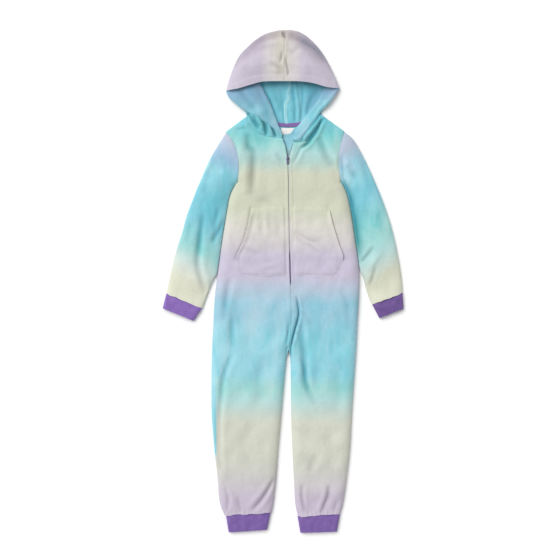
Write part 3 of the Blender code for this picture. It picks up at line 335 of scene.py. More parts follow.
LINING_SHADE_LINES = (  # painted shade on the hood's inside, in lines along its folds and beside the left lapel's inner edge; only the colour darkens, the cloth is not sunk
    Fold(-8.0, 6, 0, ((-58, 512), (-32, 456), (-18, 420), (-10, 402))),
    Fold(-5.6, 5, 0, ((22, 516), (26, 480), (30, 446), (28, 414))),
    Fold(-4.4, 4, 0, ((48, 506), (50, 470), (47, 440), (44, 414))),
    Fold(-3.2, 5, 0, ((-10, 500), (-4, 470), (-6, 436))),
    Fold(-4.0, 5, 0, ((78, 500), (68, 466), (58, 436))),
    Fold(-3.0, 8, 0, ((-34, 508), (-18, 470), (-10, 440))),
)
HOOD_FOLDS = (  # inside of the hood
    Fold(5.4, 4.6, 1, ((30, 520), (36, 480), (40, 440), (38, 408))),
    Fold(3.4, 4.4, -1, ((12, 454), (22, 436), (28, 414))),
    Fold(2.6, 4, 0, ((-4, 452), (-3, 428), (0, 410))),
    Fold(4.0, 8, 0, ((62, 512), (60, 470), (54, 432))),
    Fold(2.8, 8, 0, ((-30, 508), (-20, 470), (-12, 440))),
    Fold(2.4, 6, 0, ((80, 506), (72, 470))),
)
LAPEL_FOLDS = (
    Fold(-2.0, 7, 0, ((-118, 500), (-96, 470), (-72, 444))),
    Fold(1.6, 8, 0, ((-92, 496), (-70, 460), (-48, 428))),
    Fold(-1.6, 6, 0, ((-66, 500), (-52, 464), (-36, 428))),
    Fold(-1.2, 5, 0, ((120, 486), (96, 458), (74, 430))),
)
POCKET_FOLDS = (
    Fold(-1.5, 8, 1, ((-60, 176), (-54, 144), (-52, 112))),
    Fold(-1.0, 6, -1, ((-38, 180), (-34, 150), (-30, 122))),
    Fold(1.4, 7, 0, ((-68, 156), (-64, 118))),
    Fold(1.2, 7, 0, ((-46, 152), (-43, 116))),
    Fold(-1.4, 9, 1, ((-14, 166), (-12, 130), (-5, 100))),
    Fold(-1.8, 6, 1, ((-98, 84), (-80, 74), (-62, 66))),
    Fold(-1.3, 8, -1, ((-84, 40), (-50, 46), (-22, 54))),
    Fold(-1.0, 6, 1, ((-52, 26), (-30, 30), (-14, 28))),
    Fold(-3.2, 13, 1, ((28, 126), (46, 114), (78, 94), (116, 70))),
    Fold(1.6, 12, 0, ((26, 96), (58, 74), (92, 54))),
    Fold(-1.8, 5, 0, ((30, 74), (31, 58), (28, 46))),
    Fold(1.2, 10, 0, ((90, 160), (108, 130))),
)
NECK_FOLDS = (  # gathers that run from the hood's rim over the neck seam
    Fold(-7.0, 5.0, 0, ((-92, 440), (-84, 424), (-74, 408), (-62, 392))),
    Fold(-12.0, 5.2, 1, ((-62, 428), (-52, 414), (-46, 396), (-42, 376))),
    Fold(-4.0, 3.8, 0, ((-76, 432), (-70, 412), (-60, 398))),
    Fold(-11.0, 4.6, 1, ((-38, 410), (-30, 398), (-22, 382), (-18, 372))),
    Fold(-4.2, 3.6, -1, ((-50, 414), (-38, 394), (-32, 378))),
    Fold(-5.0, 3.6, 0, ((-22, 398), (-12, 384), (-6, 374))),
    Fold(-12.0, 4.8, 1, ((98, 442), (90, 428), (64, 394), (46, 371))),
    Fold(-10.0, 5.0, 1, ((108, 424), (93, 405), (83, 384), (62, 355), (50, 345))),
    Fold(-4.8, 3.6, 0, ((101, 430), (84, 409), (69, 387))),
    Fold(-5.0, 4.0, -1, ((84, 398), (74, 380), (60, 364))),
    Fold(-3.6, 3.6, 0, ((74, 396), (56, 372), (44, 360))),
)

# ------------------------------------------------------------ dyes
Band = namedtuple("Band", "at dye")
Dye = namedtuple("Dye", "name hex use")
DYES = (
    # painted shade: the darker aqua that the hood's inside is painted with under the crown
    Dye("deep", "66AFC3", "Deepest aqua, up inside the hood"),
    Dye("aqua", "80C5D4", "Strong aqua, at shoulders and sleeves"),
    Dye("sea", "87CBCD", "Blue green at the yoke"),
    Dye("mint", "9FD2CF", "Where aqua runs into cream"),
    Dye("lagoon", "98D0DC", "Aqua of the legs and of the rolled back"),
    Dye("sky", "9FC9D9", "Pale blue below the hips"),
    Dye("powder", "9DBDD6", "Blue at the top of the left sleeve"),
    Dye("azure", "8CB0CA", "Blue up the hood's facing and lining"),
    Dye("mist", "B6C3D5", "Grey blue under the pockets"),
    Dye("mauve", "C2B8C9", "Dull lilac over the ankle cuffs"),
    Dye("dusk", "C6C1C5", "Grey lilac over the mauve"),
    Dye("stone", "C8C8C0", "Grey cream over the dusk"),
    Dye("oat", "CCCFC0", "The legs' cream band"),
    Dye("ice", "B0D5D3", "Palest aqua, beside the cream bands"),
    Dye("willow", "C0D0C8", "Grey green where cream runs into aqua"),
    Dye("harbour", "90C0D0", "Soft blue on the hood's facing"),
    Dye("lilac", "C4BDD0", "Pale purple across the pockets"),
    Dye("heather", "C3BBCA", "Lilac of the hood's outside"),
    Dye("haze", "CFCACB", "Where lilac runs into ivory"),
    Dye("ivory", "D4D1C9", "Warm white over the pockets"),
    Dye("cream", "CACDB9", "Green-tinged cream of the chest"),
    Dye("pale", "D8D9C6", "Cream above the wrists"),
    Dye("frost", "CEDAD4", "Where the left sleeve's aqua runs into cream"),
    Dye("slate", "B0BCCE", "Grey lilac at the top of the right sleeve"),
    Dye("sage", "B1CCC4", "Where the chest's cream runs into mint"),
    Dye("bloom", "C9C5BC", "Grey cream over the crown of the hood"),
)
Dip = namedtuple("Dip", "x y add bands")  # the way that a piece's dye follows, and its bands
DIPS = {
    "body": Dip(0.0, 1.0, 0.0, (
        Band(-612, "mauve"), Band(-566, "mauve"), Band(-530, "dusk"), Band(-490, "stone"),
        Band(-444, "oat"), Band(-368, "oat"), Band(-340, "willow"), Band(-310, "ice"),
        Band(-278, "mint"), Band(-240, "lagoon"), Band(-150, "lagoon"), Band(-92, "sky"),
        Band(-60, "sky"), Band(-16, "mist"), Band(12, "lilac"), Band(62, "lilac"),
        Band(98, "haze"), Band(140, "ivory"), Band(182, "cream"), Band(276, "cream"),
        Band(306, "sage"), Band(328, "ice"), Band(350, "mint"), Band(378, "sea"),
        Band(430, "aqua"))),
    "sleeve_left": Dip(0.46, 0.85, 119.0, (
        Band(-72, "pale"), Band(4, "pale"), Band(40, "frost"), Band(82, "mint"),
        Band(156, "aqua"), Band(220, "aqua"), Band(286, "lagoon"), Band(318, "powder"),
        Band(358, "mist"), Band(386, "lilac"))),
    "sleeve_right": Dip(-0.46, 0.85, 122.0, (
        Band(-72, "cream"), Band(-24, "pale"), Band(14, "cream"), Band(40, "willow"),
        Band(68, "ice"), Band(104, "mint"), Band(150, "sea"), Band(200, "aqua"),
        Band(226, "aqua"), Band(262, "lagoon"), Band(300, "sky"), Band(340, "slate"),
        Band(388, "slate"))),
    "lapel_left": Dip(0.0, 1.0, 0.0, (
        Band(318, "ice"), Band(360, "aqua"), Band(402, "harbour"), Band(446, "harbour"),
        Band(480, "azure"), Band(530, "azure"))),
    "lapel_right": Dip(0.0, 1.0, 0.0, (
        Band(318, "ice"), Band(350, "lagoon"), Band(380, "harbour"), Band(430, "lagoon"),
        Band(464, "sky"), Band(486, "azure"), Band(530, "azure"))),
}


# ============================================================ sizes that a user may have changed
def cloth():
    return bpy.context.scene.onesie_cloth


def sewing():
    return bpy.context.scene.onesie_sewing


def zip_sizes():
    return bpy.context.scene.onesie_zip


def dyes():
    return bpy.context.scene.onesie_dyes


def fleece():
    """Thickness of the plush in millimetres."""
    return cloth().fleece / MM


# ============================================================ curves in the plane
def curve(points, per_span=8):
    """A dense line on the Catmull-Rom curve through the points."""
    p = np.asarray(points, float)
    ends = np.vstack([2 * p[0] - p[1], p, 2 * p[-1] - p[-2]])
    t = np.linspace(0, 1, per_span, endpoint=False)[:, None]
    spans = []
    for a, b, c, d in zip(ends, ends[1:], ends[2:], ends[3:]):
        spans.append(0.5 * (2 * b + (c - a) * t + (2 * a - 5 * b + 4 * c - d) * t**2
                            + (3 * b - a - 3 * c + d) * t**3))
    return np.vstack(spans + [p[-1:]])


def refined(nodes, factor, corners=()):
    """More nodes on the curve through those given, with the named corners kept sharp."""
    cuts = [0, *corners, len(nodes) - 1]
    runs = [curve(nodes[a:b + 1], factor)[:-1] for a, b in zip(cuts, cuts[1:])]
    return np.vstack(runs + [nodes[-1:]])


def along(line, shares):
    """Points at the given shares of a line's length."""
    steps = np.linalg.norm(np.diff(line, axis=0), axis=1)
    run = np.concatenate([[0], np.cumsum(steps)]) / steps.sum()
    return np.stack([np.interp(shares, run, line[:, k]) for k in range(line.shape[1])], axis=-1)


def laid(points, shares):
    """Places at the shares of the curve through a piece's outline points."""
    return along(curve(points), shares)


def length_of(line):
    return np.linalg.norm(np.diff(line, axis=0), axis=1).sum()


def even(count):
    return np.linspace(0, 1, count + 1)


def closing(count, power):
    """Shares whose steps shrink towards 1."""
    return 1 - (1 - even(count)) ** power


def nearest(points, line):
    """Share of a line's length at each point's nearest place, and the distance, + on its left."""
    a, b = line[:-1], line[1:]
    ab = b - a
    ap = points[..., None, :] - a
    square = np.maximum((ab * ab).sum(-1), 1e-9)
    t = np.clip((ap * ab).sum(-1) / square, 0, 1)
    gaps = np.linalg.norm(ap - t[..., None] * ab, axis=-1)
    best = gaps.argmin(-1)
    steps = np.sqrt(square)
    run = np.concatenate([[0], np.cumsum(steps)])[:-1]
    here = np.take_along_axis(t, best[..., None], -1)[..., 0]
    share = (run[best] + here * steps[best]) / steps.sum()
    from_a, run_on = points - a[best], ab[best]
    cross = run_on[..., 0] * from_a[..., 1] - run_on[..., 1] * from_a[..., 0]
    return share, np.take_along_axis(gaps, best[..., None], -1)[..., 0] * np.where(cross < 0, -1, 1)


def reach(points, line):
    return np.abs(nearest(points, line)[1])


def normals_of(line):
    """Unit vectors across a line, to the left of its run."""
    run = np.gradient(line, axis=0)
    run /= np.linalg.norm(run, axis=1, keepdims=True)
    return np.stack([-run[:, 1], run[:, 0]], axis=-1)


def shifted(line, by):
    return line + normals_of(line) * by


def half_seam(side):
    """Half the gap of a seam, towards the side's own piece."""
    return SIGN[side] * SEAM / 2


def smooth(x):
    x = np.clip(x, 0, 1)
    return x * x * (3 - 2 * x)


def dome(x):
    """A quarter round: 0 at an edge, 1 where the top is level."""
    x = np.clip(x, 0, 1)
    return np.sqrt(x * (2 - x))


def bell(x):
    return np.exp(-x * x)


def table(rows, at):
    return np.interp(at, [r.at for r in rows], [r.over_all for r in rows])


# ============================================================ relief of the cloth
def folded(points, folds):
    """Sum of the troughs and ridges at each point, each dying out at its ends."""
    total = np.zeros(points.shape[:-1])
    for fold in folds:
        share, off = nearest(points, curve(fold.path, 6))
        taper = 0.15 + 0.85 * np.sqrt(np.clip(4 * share * (1 - share), 0, 1))
        shape = bell(off / fold.width)
        if fold.lean:
            shape -= 0.42 * bell((off - fold.lean * 2.0 * fold.width) / (1.15 * fold.width))
        total += fold.rise * taper * shape
    return total


def swell(points, seed, shortest, longest, count=26):
    """Uneven waves of about unit height, of random run and of lengths in the given span."""
    draw = np.random.default_rng(seed)
    lengths = np.exp(draw.uniform(math.log(shortest), math.log(longest), count))
    runs = draw.uniform(0, math.tau, count)
    phases = draw.uniform(0, math.tau, count)
    total = np.zeros(points.shape[:-1])
    for length, run, phase in zip(lengths, runs, phases):
        way = points[..., 0] * math.cos(run) + points[..., 1] * math.sin(run)
        total += np.sin(way * math.tau / length + phase)
    return total / math.sqrt(count / 2)


def puckered(points, seam, seed, pitch, depth, spread):
    """Small gathers that run out from a seam where cloth is eased on to rib."""
    share, off = nearest(points, seam)
    run = share * length_of(seam)
    wander = swell(np.stack([run, run * 0], axis=-1), seed, 2.5 * pitch, 9 * pitch, 9)
    waves = 0.5 + 0.5 * np.cos(run * math.tau / pitch + 1.9 * wander)
    strength = 0.75 + 0.35 * swell(np.stack([run, run * 0], axis=-1), seed + 1, 30, 90, 7)
    return -depth * waves ** 1.3 * strength * np.exp(-np.abs(off) / spread)


def sewn_in(points, seam, depth=1.3, width=3.4):
    """The valley that a seam draws into plush."""
    return -depth * bell(reach(points, seam) / width)


def napped(points, height, seed):
    """Low unevenness of the pile itself."""
    return height * swell(points[:, :2], seed, 5, 9, 40)


def eased_over(plan, name, seed):
    """Lets the cloth's edge puff a little over its cuff, unevenly."""
    seam = cuff_seam(name)
    foot = np.array([CUFFS[name].foot_a, CUFFS[name].foot_b], float)
    down = foot.mean(axis=0) - seam.mean(axis=0)
    down /= np.linalg.norm(down)
    by = (0.9 + 1.0 * swell(plan, seed, 22, 48, 12)) * np.exp(-reach(plan, seam) / 5)
    return plan + np.maximum(by, -0.1)[..., None] * down


def puffed(points, name, off):
    """How the cloth stands up where its cuff draws it in."""
    return 2.4 * np.exp(-reach(points, cuff_seam(name)) / 11) * smooth((off + 2) / 10)


def lay_relief(points, seed):
    """Shallow unevenness that any laid cloth has: broad swells and small dents of the nap."""
    return 0.60 * swell(points, seed, 42, 140) + 0.06 * swell(points, seed + 7, 12, 26, 34)


# ============================================================ edges worked out
def body_edge(side, name, first, last):
    rows = BODY[first:last + 1]
    return curve([(getattr(r, f"{side}_{name}"), r.y) for r in rows])


def cut_below(line, y):
    start = np.array([[np.interp(y, line[:, 1], line[:, 0]), y]])
    return np.vstack([start, line[line[:, 1] > y + 1e-6]])


@cache
def side_seam(side):
    line = cut_below(body_edge(side, "side", 0, len(BODY) - 1), ANKLE[side].side_y)
    return shifted(line, SIGN[side] * fleece() / 2)


@cache
def inseam(side):
    line = cut_below(body_edge(side, "inner", 0, CROTCH_ROW), ANKLE[side].inner_y)
    return shifted(line, -SIGN[side] * fleece() / 2)


def centre_line():
    rows = [(CROTCH_X, BODY[CROTCH_ROW].y)]
    rows += [(r.left_inner, r.y) for r in BODY[CROTCH_ROW + 1:]]
    return curve(rows)


def shoulder_seam(side):
    return np.array([ARMHOLE[side][-1], NECK_BACK[side][-1]], float)


def armhole(side):
    return curve(ARMHOLE[side])


def neck_line(side):
    """Neck seam between a front and the hood."""
    return curve(NECK_FRONT[side])


def cuff_seam(name):
    """Straight seam between a cuff and its leg or sleeve."""
    return np.array([CUFFS[name].top_a, CUFFS[name].top_b], float)


@cache
def sleeve_edge(side, name):
    """Outer edge from the shoulder, or inner edge from the underarm, half a wall in."""
    half = fleece() / 2
    if name == "outer":
        outer = shifted(curve(SLEEVE_OUT[side]), -SIGN[side] * half)
        outer[0] = ARMHOLE[side][-1]
        return outer
    held = side_seam(side)[::-1]
    held = held[held[:, 1] > SLEEVE_IN[side][0][1] + 12]
    held = shifted(held, SIGN[side] * (2 * half + LAY))
    free = shifted(curve(SLEEVE_IN[side]), SIGN[side] * half)
    start = np.array([ARMHOLE[side][0]], float) + (SIGN[side] * 0.4, 1.9)
    return np.vstack([start, held[1:], free])


# ============================================================ heights of the pieces
def edge_gap(points, side):
    """How far points lie in from the seams round the body."""
    edges = (side_seam(side), inseam(side), shoulder_seam(side))
    return np.min([reach(points, e) for e in edges], axis=0)


def body_height(points, side):
    """Middle height of a front before its neighbours are blended in, and how far in it lies."""
    off = edge_gap(points, side)
    full = table(BODY_HEIGHT, points[..., 1]) - fleece() / 2
    return FRONT_EDGE + (full - FRONT_EDGE) * dome(off / SIDE_ROUND), off


def sleeve_height(points, side):
    share, off_out = nearest(points, sleeve_edge(side, "outer"))
    off_out, off_in = np.abs(off_out), reach(points, sleeve_edge(side, "inner"))
    full = table(SLEEVE_HEIGHT, share) - fleece() / 2
    rise = np.minimum(dome(off_out / SLEEVE_ROUND), dome(off_in / TUCK_ROUND))
    return FOLD_EDGE + (full - FOLD_EDGE) * rise, np.minimum(off_out, off_in)


def blended(own, other, arm):
    """Brings body and sleeve to one height at the armhole that they share."""
    return own + 0.5 * (1 - smooth(arm / ARM_BLEND)) * (other - own)


def near_join(points, side):
    """1 at the crotch and under the arm, where the edge seams end, 0 away from them."""
    corners = np.array([(CROTCH_X, BODY[CROTCH_ROW].y), ARMHOLE[side][0]], float)
    gap = np.linalg.norm(points[..., None, :] - corners, axis=-1).min(-1)
    return 1 - smooth(gap / 30.0)


def zip_line(side):
    """The front's edge beside the zip, from the crotch to the neck."""
    return np.vstack([centre_line(), curve(ZIP_TOP)[1:], curve(V_EDGE[side])[1:]])


def mouth_dip(points, side):
    """How far a front and its pocket sink beside the hand opening."""
    near = bell((reach(points, curve(POCKET_OUT[side][1:])) - 0.6) / 3.2)
    return MOUTH_DIP[side] * near * smooth((points[..., 1] - POCKET_TURN + 6) / 16)


def front_height(points, side):
    """Middle height of a front with its folds, seam valleys and zip facing."""
    own, off = body_height(points, side)
    arm = reach(points, armhole(side))
    z = blended(own, sleeve_height(points, side)[0], arm)
    inside = smooth(off / 12) * smooth(arm / 10)
    near_neck = 1 - smooth((reach(points, neck_line(side)) - 6) / 22)
    z += (folded(points, FRONT_FOLDS) + lay_relief(points, 3)) * inside
    if side == "left":
        z += folded(points, (ROLLED,)) * smooth(off / 6)
    z += 0.75 * folded(points, NECK_FOLDS) * near_neck * smooth(off / 8)
    z += 1.1 * near_join(points, side)
    z -= mouth_dip(points, side)
    z += sewn_in(points, armhole(side))
    z += sewn_in(points, neck_line(side), depth=1.6, width=4.0)
    ankle = f"ankle_cuff_{side}"
    creased = puckered(points, cuff_seam(ankle), seed=21, pitch=9.5, depth=1.5, spread=13)
    z += creased * smooth(off / 8)
    z += puffed(points, ankle, off)
    return np.maximum(z + zip_facing(points, side), LOWEST)


def zip_facing(points, side):
    """The doubled strip beside the zip: a low plateau, with a channel along its stitches."""
    off = reach(points, zip_line(side))
    wide = FACING[side]
    fade = smooth((points[..., 1] - FACING_FOOT + 3) / 6)
    plateau = 0.7 * (1 - smooth((off - wide + 1.5) / 3))
    roll = -1.0 * bell(off / 2.4)
    inner = 0.8 * bell((off - FACING_ROLL) / 1.3) if side == "right" else 0.0
    return (plateau - 1.0 * bell((off - wide) / 1.5) - inner) * fade + roll * (1 - 0.3 * fade)


def back_height(points, side):
    """Middle height of a back, flat on what it lies on and turned up at its edge."""
    off = edge_gap(points, side)
    low = fleece() / 2
    rise = (BACK_EDGE - low) * (1 - 0.9 * near_join(points, side))
    creases = np.maximum(folded(points, BACK_FOLDS) + 0.35 * swell(points, 31, 30, 90), 0)
    return low + rise * np.clip(1 - off / CURL, 0, 1) ** 2 + creases * smooth(off / 14)


# ============================================================ meshes
Sheet = namedtuple("Sheet", "points quads")


def grid_quads(index):
    a, b = index[:-1, :-1], index[:-1, 1:]
    c, d = index[1:, 1:], index[1:, :-1]
    return np.stack([a, b, c, d], axis=-1).reshape(-1, 4)


def numbered(points):
    """Point numbers of a grid of points, laid out as the grid is."""
    return np.arange(points.shape[0] * points.shape[1]).reshape(points.shape[:2])


def grid_sheet(points):
    return face_up(Sheet(points.reshape(-1, 3), grid_quads(numbered(points))))


def face_areas(sheet):
    p, q = sheet.points, sheet.quads
    return np.cross(p[q[:, 2]] - p[q[:, 0]], p[q[:, 3]] - p[q[:, 1]]) / 2


def face_up(sheet):
    """Turns the faces over where they look down on average."""
    if face_areas(sheet)[:, 2].sum() > 0:
        return sheet
    return Sheet(sheet.points, sheet.quads[:, ::-1])


def point_normals(sheet):
    total = np.zeros_like(sheet.points)
    area = face_areas(sheet)
    for k in range(4):
        np.add.at(total, sheet.quads[:, k], area)
    return total / np.maximum(np.linalg.norm(total, axis=1, keepdims=True), 1e-9)


def across(nodes):
    run = np.gradient(nodes[:, :2], axis=0)
    run /= np.linalg.norm(run, axis=1, keepdims=True)
    return np.stack([-run[:, 1], run[:, 0], np.zeros(len(run))], axis=-1)


def pin_upright(normals, points, row):
    """Ends a wall square to its seam, so that it meets its neighbour face to face."""
    side = across(points[row])
    n = normals[row] - (normals[row] * side).sum(1, keepdims=True) * side
    normals[row] = n / np.linalg.norm(n, axis=1, keepdims=True)


def pin_level(normals, points, row, outward):
    side = across(points[row])
    flip = np.sign((side * outward).sum(1, keepdims=True))
    normals[row] = side * np.where(flip == 0, 1, flip)


def open_edges(quads):
    """Edges that only one face has, each in its face's order."""
    edges = np.concatenate([quads[:, [k, (k + 1) % 4]] for k in range(4)])
    size = int(edges.max()) + 1
    key, other = edges[:, 0] * size + edges[:, 1], edges[:, 1] * size + edges[:, 0]
    return edges[~np.isin(key, other)]


def placed(name, data):
    """Puts a new object in the scene."""
    made = bpy.data.objects.new(name, data)
    bpy.context.scene.collection.objects.link(made)
    return made


def mark_points(made, name, values):
    """Gives a cloth's upper and under points a number each, which its finish reads."""
    made.data.attributes.new(name, "FLOAT", "POINT").data.foreach_set("value", np.tile(values, 2))


def add_mesh(name, points, faces, finishes, face_finish=None):
    """A smooth mesh object from millimetre points, with a finish for each face."""
    mesh = bpy.data.meshes.new(name)
    mesh.from_pydata((np.asarray(points) * MM).tolist(), [], [list(map(int, f)) for f in faces])
    for finish in finishes:
        mesh.materials.append(finish)
    if face_finish is not None:
        mesh.polygons.foreach_set("material_index", np.asarray(face_finish, np.int32))
    mesh.shade_smooth()
    mesh.update()
    return placed(name, mesh)


def add_cloth(name, sheet, wall, finishes, normals=None, face_finish=None, nap=None, folds=()):
    """A shell, half its wall on each side of the sheet; nap raises its upper face.

    In the troughs of its folds its finish paints shade, darker the deeper the trough."""
    p, q = sheet.points, sheet.quads
    if normals is None:
        normals = point_normals(sheet)
    count = len(p)
    lift = wall / 2 if nap is None else wall / 2 + nap[:, None]
    points = np.vstack([p + normals * lift, p - normals * wall / 2])
    rim = open_edges(q)
    sides = np.column_stack([rim[:, 1], rim[:, 0], rim[:, 0] + count, rim[:, 1] + count])
    faces = np.vstack([q, q[:, ::-1] + count, sides])
    finish = None
    if face_finish is not None:
        upper, under = face_finish
        finish = np.concatenate([upper, under, np.full(len(sides), int(upper[0]))])
    made = add_mesh(name, points, faces, finishes, finish)
    made.data.set_sharp_from_angle(angle=math.radians(65))
    if folds:
        # painted shade: each point's trough depth, which the finish paints darker
        mark_points(made, "crease_shade", np.clip(-folded(p[:, :2], folds) / FULL_SHADE_DEPTH, 0, 1))
    return made


def join_body(piece, node, slot, body="garment"):
    """Puts a finished piece in the place of its frame node."""
    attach(piece, body)
    if node:
        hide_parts(node)
    return piece


def join_cloth(piece, node, slot, flat, **more):
    """The same for a cloth; flat, the width and length of its cut in metres, is not used."""
    join_body(piece, node, slot)
    return piece


# ============================================================ fronts and backs
LEG_ROWS, TORSO_ROWS, NECK_STEPS = 16, 15, 5
PANEL_GRID = {"front": (8, 56), "back": (4, 30)}  # rows from node to node of an edge, and columns
YOKE_SHARES = np.array([0.025, 0.08, 0.2, 0.35, 0.5, 0.65, 0.8, 0.92, 0.975, 1])
UNDERARM_ROW = LEG_ROWS + TORSO_ROWS
V_ROWS = (UNDERARM_ROW + 2, UNDERARM_ROW + 5)  # slider and top of the V


def column_shares(length, count):
    inner = np.linspace(3.2, length - 3.2, count - 5)
    return np.concatenate([[0, 0.8, 1.8], inner, [length - 1.8, length - 0.8, length]]) / length


def between(outer, inner, count):
    rows = []
    for a, b in zip(outer, inner):
        shares = column_shares(np.linalg.norm(b - a), count)[:, None]
        rows.append(a + (b - a) * shares)
    return np.array(rows)


def panel_edges(side, face, finer):
    """Nodes of a panel's outer and inner edge, from the ankle to the shoulder."""
    out_line = side_seam(side)
    crotch_y = BODY[CROTCH_ROW].y
    lower = out_line[out_line[:, 1] <= crotch_y]
    upper = out_line[out_line[:, 1] >= crotch_y - 8]
    gap = half_seam(side)
    outer = [along(lower, even(LEG_ROWS))[:-1], along(upper, closing(TORSO_ROWS, 1.35))]
    middle = along(centre_line(), closing(TORSO_ROWS, 1.15))
    middle[:, 0] += gap
    inner = [along(inseam(side), even(LEG_ROWS))[:-1], middle]
    outer.append(shifted(along(armhole(side), YOKE_SHARES), gap))
    if face == "front":
        up = laid(ZIP_TOP, even(2))[1:] + (gap, 0)
        vee = laid(V_EDGE[side], even(3))[1:-1]
        neck = shifted(along(neck_line(side), even(NECK_STEPS)), -gap)
        inner += [up, vee, neck]
        corners = (LEG_ROWS, *V_ROWS)
    else:
        up = along(np.array([(14, 256), NECK_BACK[side][0]], float), even(NECK_STEPS))[1:-1]
        up[:, 0] += gap
        neck = shifted(laid(NECK_BACK[side], even(NECK_STEPS)), -gap)
        neck[0] = NECK_BACK[side][0] + np.array([gap, -SEAM / 2])
        inner += [up, neck]
        corners = (LEG_ROWS, UNDERARM_ROW + NECK_STEPS)
    outer = refined(np.vstack(outer), finer, (UNDERARM_ROW,))
    inner = refined(np.vstack(inner), finer, corners)
    if face == "front":
        zip_rows = slice((LEG_ROWS + 1) * finer, V_ROWS[1] * finer)
        ys = inner[zip_rows, 1]
        setback = smooth((ys - ZIP_BOTTOM + 12) / 12) * (0.62 + 1.2 * smooth((84 - ys) / 20))
        inner[zip_rows, 0] += SIGN[side] * setback * (ZIP_GAP - SEAM / 2 - 0.45)
    return outer, inner


def body_panel(side, face):
    """Half of the torso and one leg in one piece, on the front or the back."""
    finer, columns = PANEL_GRID[face]
    plan = between(*panel_edges(side, face, finer), columns)
    plan = eased_over(plan, f"ankle_cuff_{side}", 23)
    height = front_height if face == "front" else back_height
    sheet, index = grid_sheet(np.dstack([plan, height(plan, side)])), numbered(plan)
    normals = point_normals(sheet)
    legs, arm = LEG_ROWS * finer, UNDERARM_ROW * finer
    turn = 1 if face == "front" else -1
    for row, outward in ((index[:arm, 0], SIGN[side]), (index[:legs, -1], -SIGN[side])):
        pin_level(normals, sheet.points, row, np.array([outward, 0, 0]))
        normals[row] *= turn
    for row in (index[arm:, 0], index[legs:, -1], index[0]):
        pin_upright(normals, sheet.points, row)
    nap = napped(sheet.points, 0.05, 41) if face == "front" else None
    made = add_cloth(f"plush_{face}_{side}", sheet, fleece(), [plush("body")], normals, nap=nap,
                     folds=FRONT_FOLDS + NECK_FOLDS if face == "front" else ())
    return join_cloth(made, f"{face}_{side}", "plush", (0.22, 1.02), area=0.170)


# ============================================================ sleeves and cuffs
def ring_sheet(rings):
    """A tube of rings of points, open at both ends, faces outward."""
    index = numbered(rings)
    sheet = Sheet(rings.reshape(-1, 3), grid_quads(np.hstack([index, index[:, :1]])))
    centre = rings.mean(axis=1)[sheet.quads[:, 0] // rings.shape[1]]
    out = (face_areas(sheet) * (sheet.points[sheet.quads].mean(axis=1) - centre)).sum()
    return sheet if out > 0 else Sheet(sheet.points, sheet.quads[:, ::-1])


def tube_ring(plan, top, edge, wall, creases=0.0):
    """A flattened ring: along the top row of points and back along the bottom."""
    low = wall / 2
    span = np.linalg.norm(plan - plan[:1], axis=1)
    off = np.minimum(span, span[-1] - span)
    bottom = low + (edge - low) * np.clip(1 - off / CURL, 0, 1) ** 2 + creases * smooth(off / 12)
    over = np.column_stack([plan, top])
    over[[0, -1], 2] = edge
    under = np.column_stack([plan, bottom])[-2:0:-1]
    return np.vstack([over, under])


def sleeve(side):
    """Set-in sleeve, a flattened tube from the armhole to the wrist."""
    shares = even(118) ** 1.08
    starts = along(sleeve_edge(side, "outer"), shares)
    ends = along(sleeve_edge(side, "inner"), shares ** 1.36)
    columns = column_shares(100.0, 38)
    seam = along(armhole(side), columns)
    seam = shifted(seam, -half_seam(side))
    seam[0] += (SIGN[side] * 0.2, 1.9)
    seam = seam[::-1]
    chord = seam[0] + (seam[-1] - seam[0]) * columns[:, None]
    wrist = f"wrist_cuff_{side}"
    rings = []
    for a, b, share in zip(starts, ends, shares):
        keep = max(0.0, 1 - share / 0.3) ** 1.5
        plan = a + (b - a) * columns[:, None] + (seam - chord) * keep
        plan = seam if share == 0 else eased_over(plan, wrist, 25)
        own, off = sleeve_height(plan, side)
        arm = reach(plan, armhole(side))
        top = blended(own, body_height(plan, side)[0], arm)
        inside = smooth(off / 10) * smooth(arm / 10)
        top += (folded(plan, SLEEVE_FOLDS) + lay_relief(plan, 5)) * inside
        top += sewn_in(plan, armhole(side))
        top += puffed(plan, wrist, off)
        creased = puckered(plan, cuff_seam(wrist), seed=27, pitch=12.0, depth=0.6, spread=9)
        top += creased * smooth(off / 8)
        top = np.maximum(top, LOWEST)
        creases = np.maximum(0.5 * swell(plan, 33, 25, 80), 0)
        rings.append(tube_ring(plan, top, FOLD_EDGE, fleece(), creases))
    made = add_tube(f"plush_sleeve_{side}", np.array(rings), fleece(),
                    [plush(f"sleeve_{side}")], nap_height=0.1, folds=SLEEVE_FOLDS)
    return join_cloth(made, f"sleeve_{side}", "plush", (0.24, 0.47), area=0.081)


def add_tube(name, rings, wall, finishes, nap_height=0.0, relief=None, folds=()):
    sheet = ring_sheet(rings)
    normals = point_normals(sheet)
    count = rings.shape[1]
    half = count // 2
    for first in (0, len(sheet.points) - count):
        ring = np.arange(first, first + count)
        pin_upright(normals, sheet.points, ring[:half + 1])
        pin_upright(normals, sheet.points, np.append(ring[half:], ring[0])[1:-1])
    nap = relief.ravel() if relief is not None else None
    if nap_height:
        nap = napped(sheet.points, nap_height, 43) * np.clip(normals[:, 2], 0, 1)
    return add_cloth(name, sheet, wall, finishes, normals, nap=nap, folds=folds)


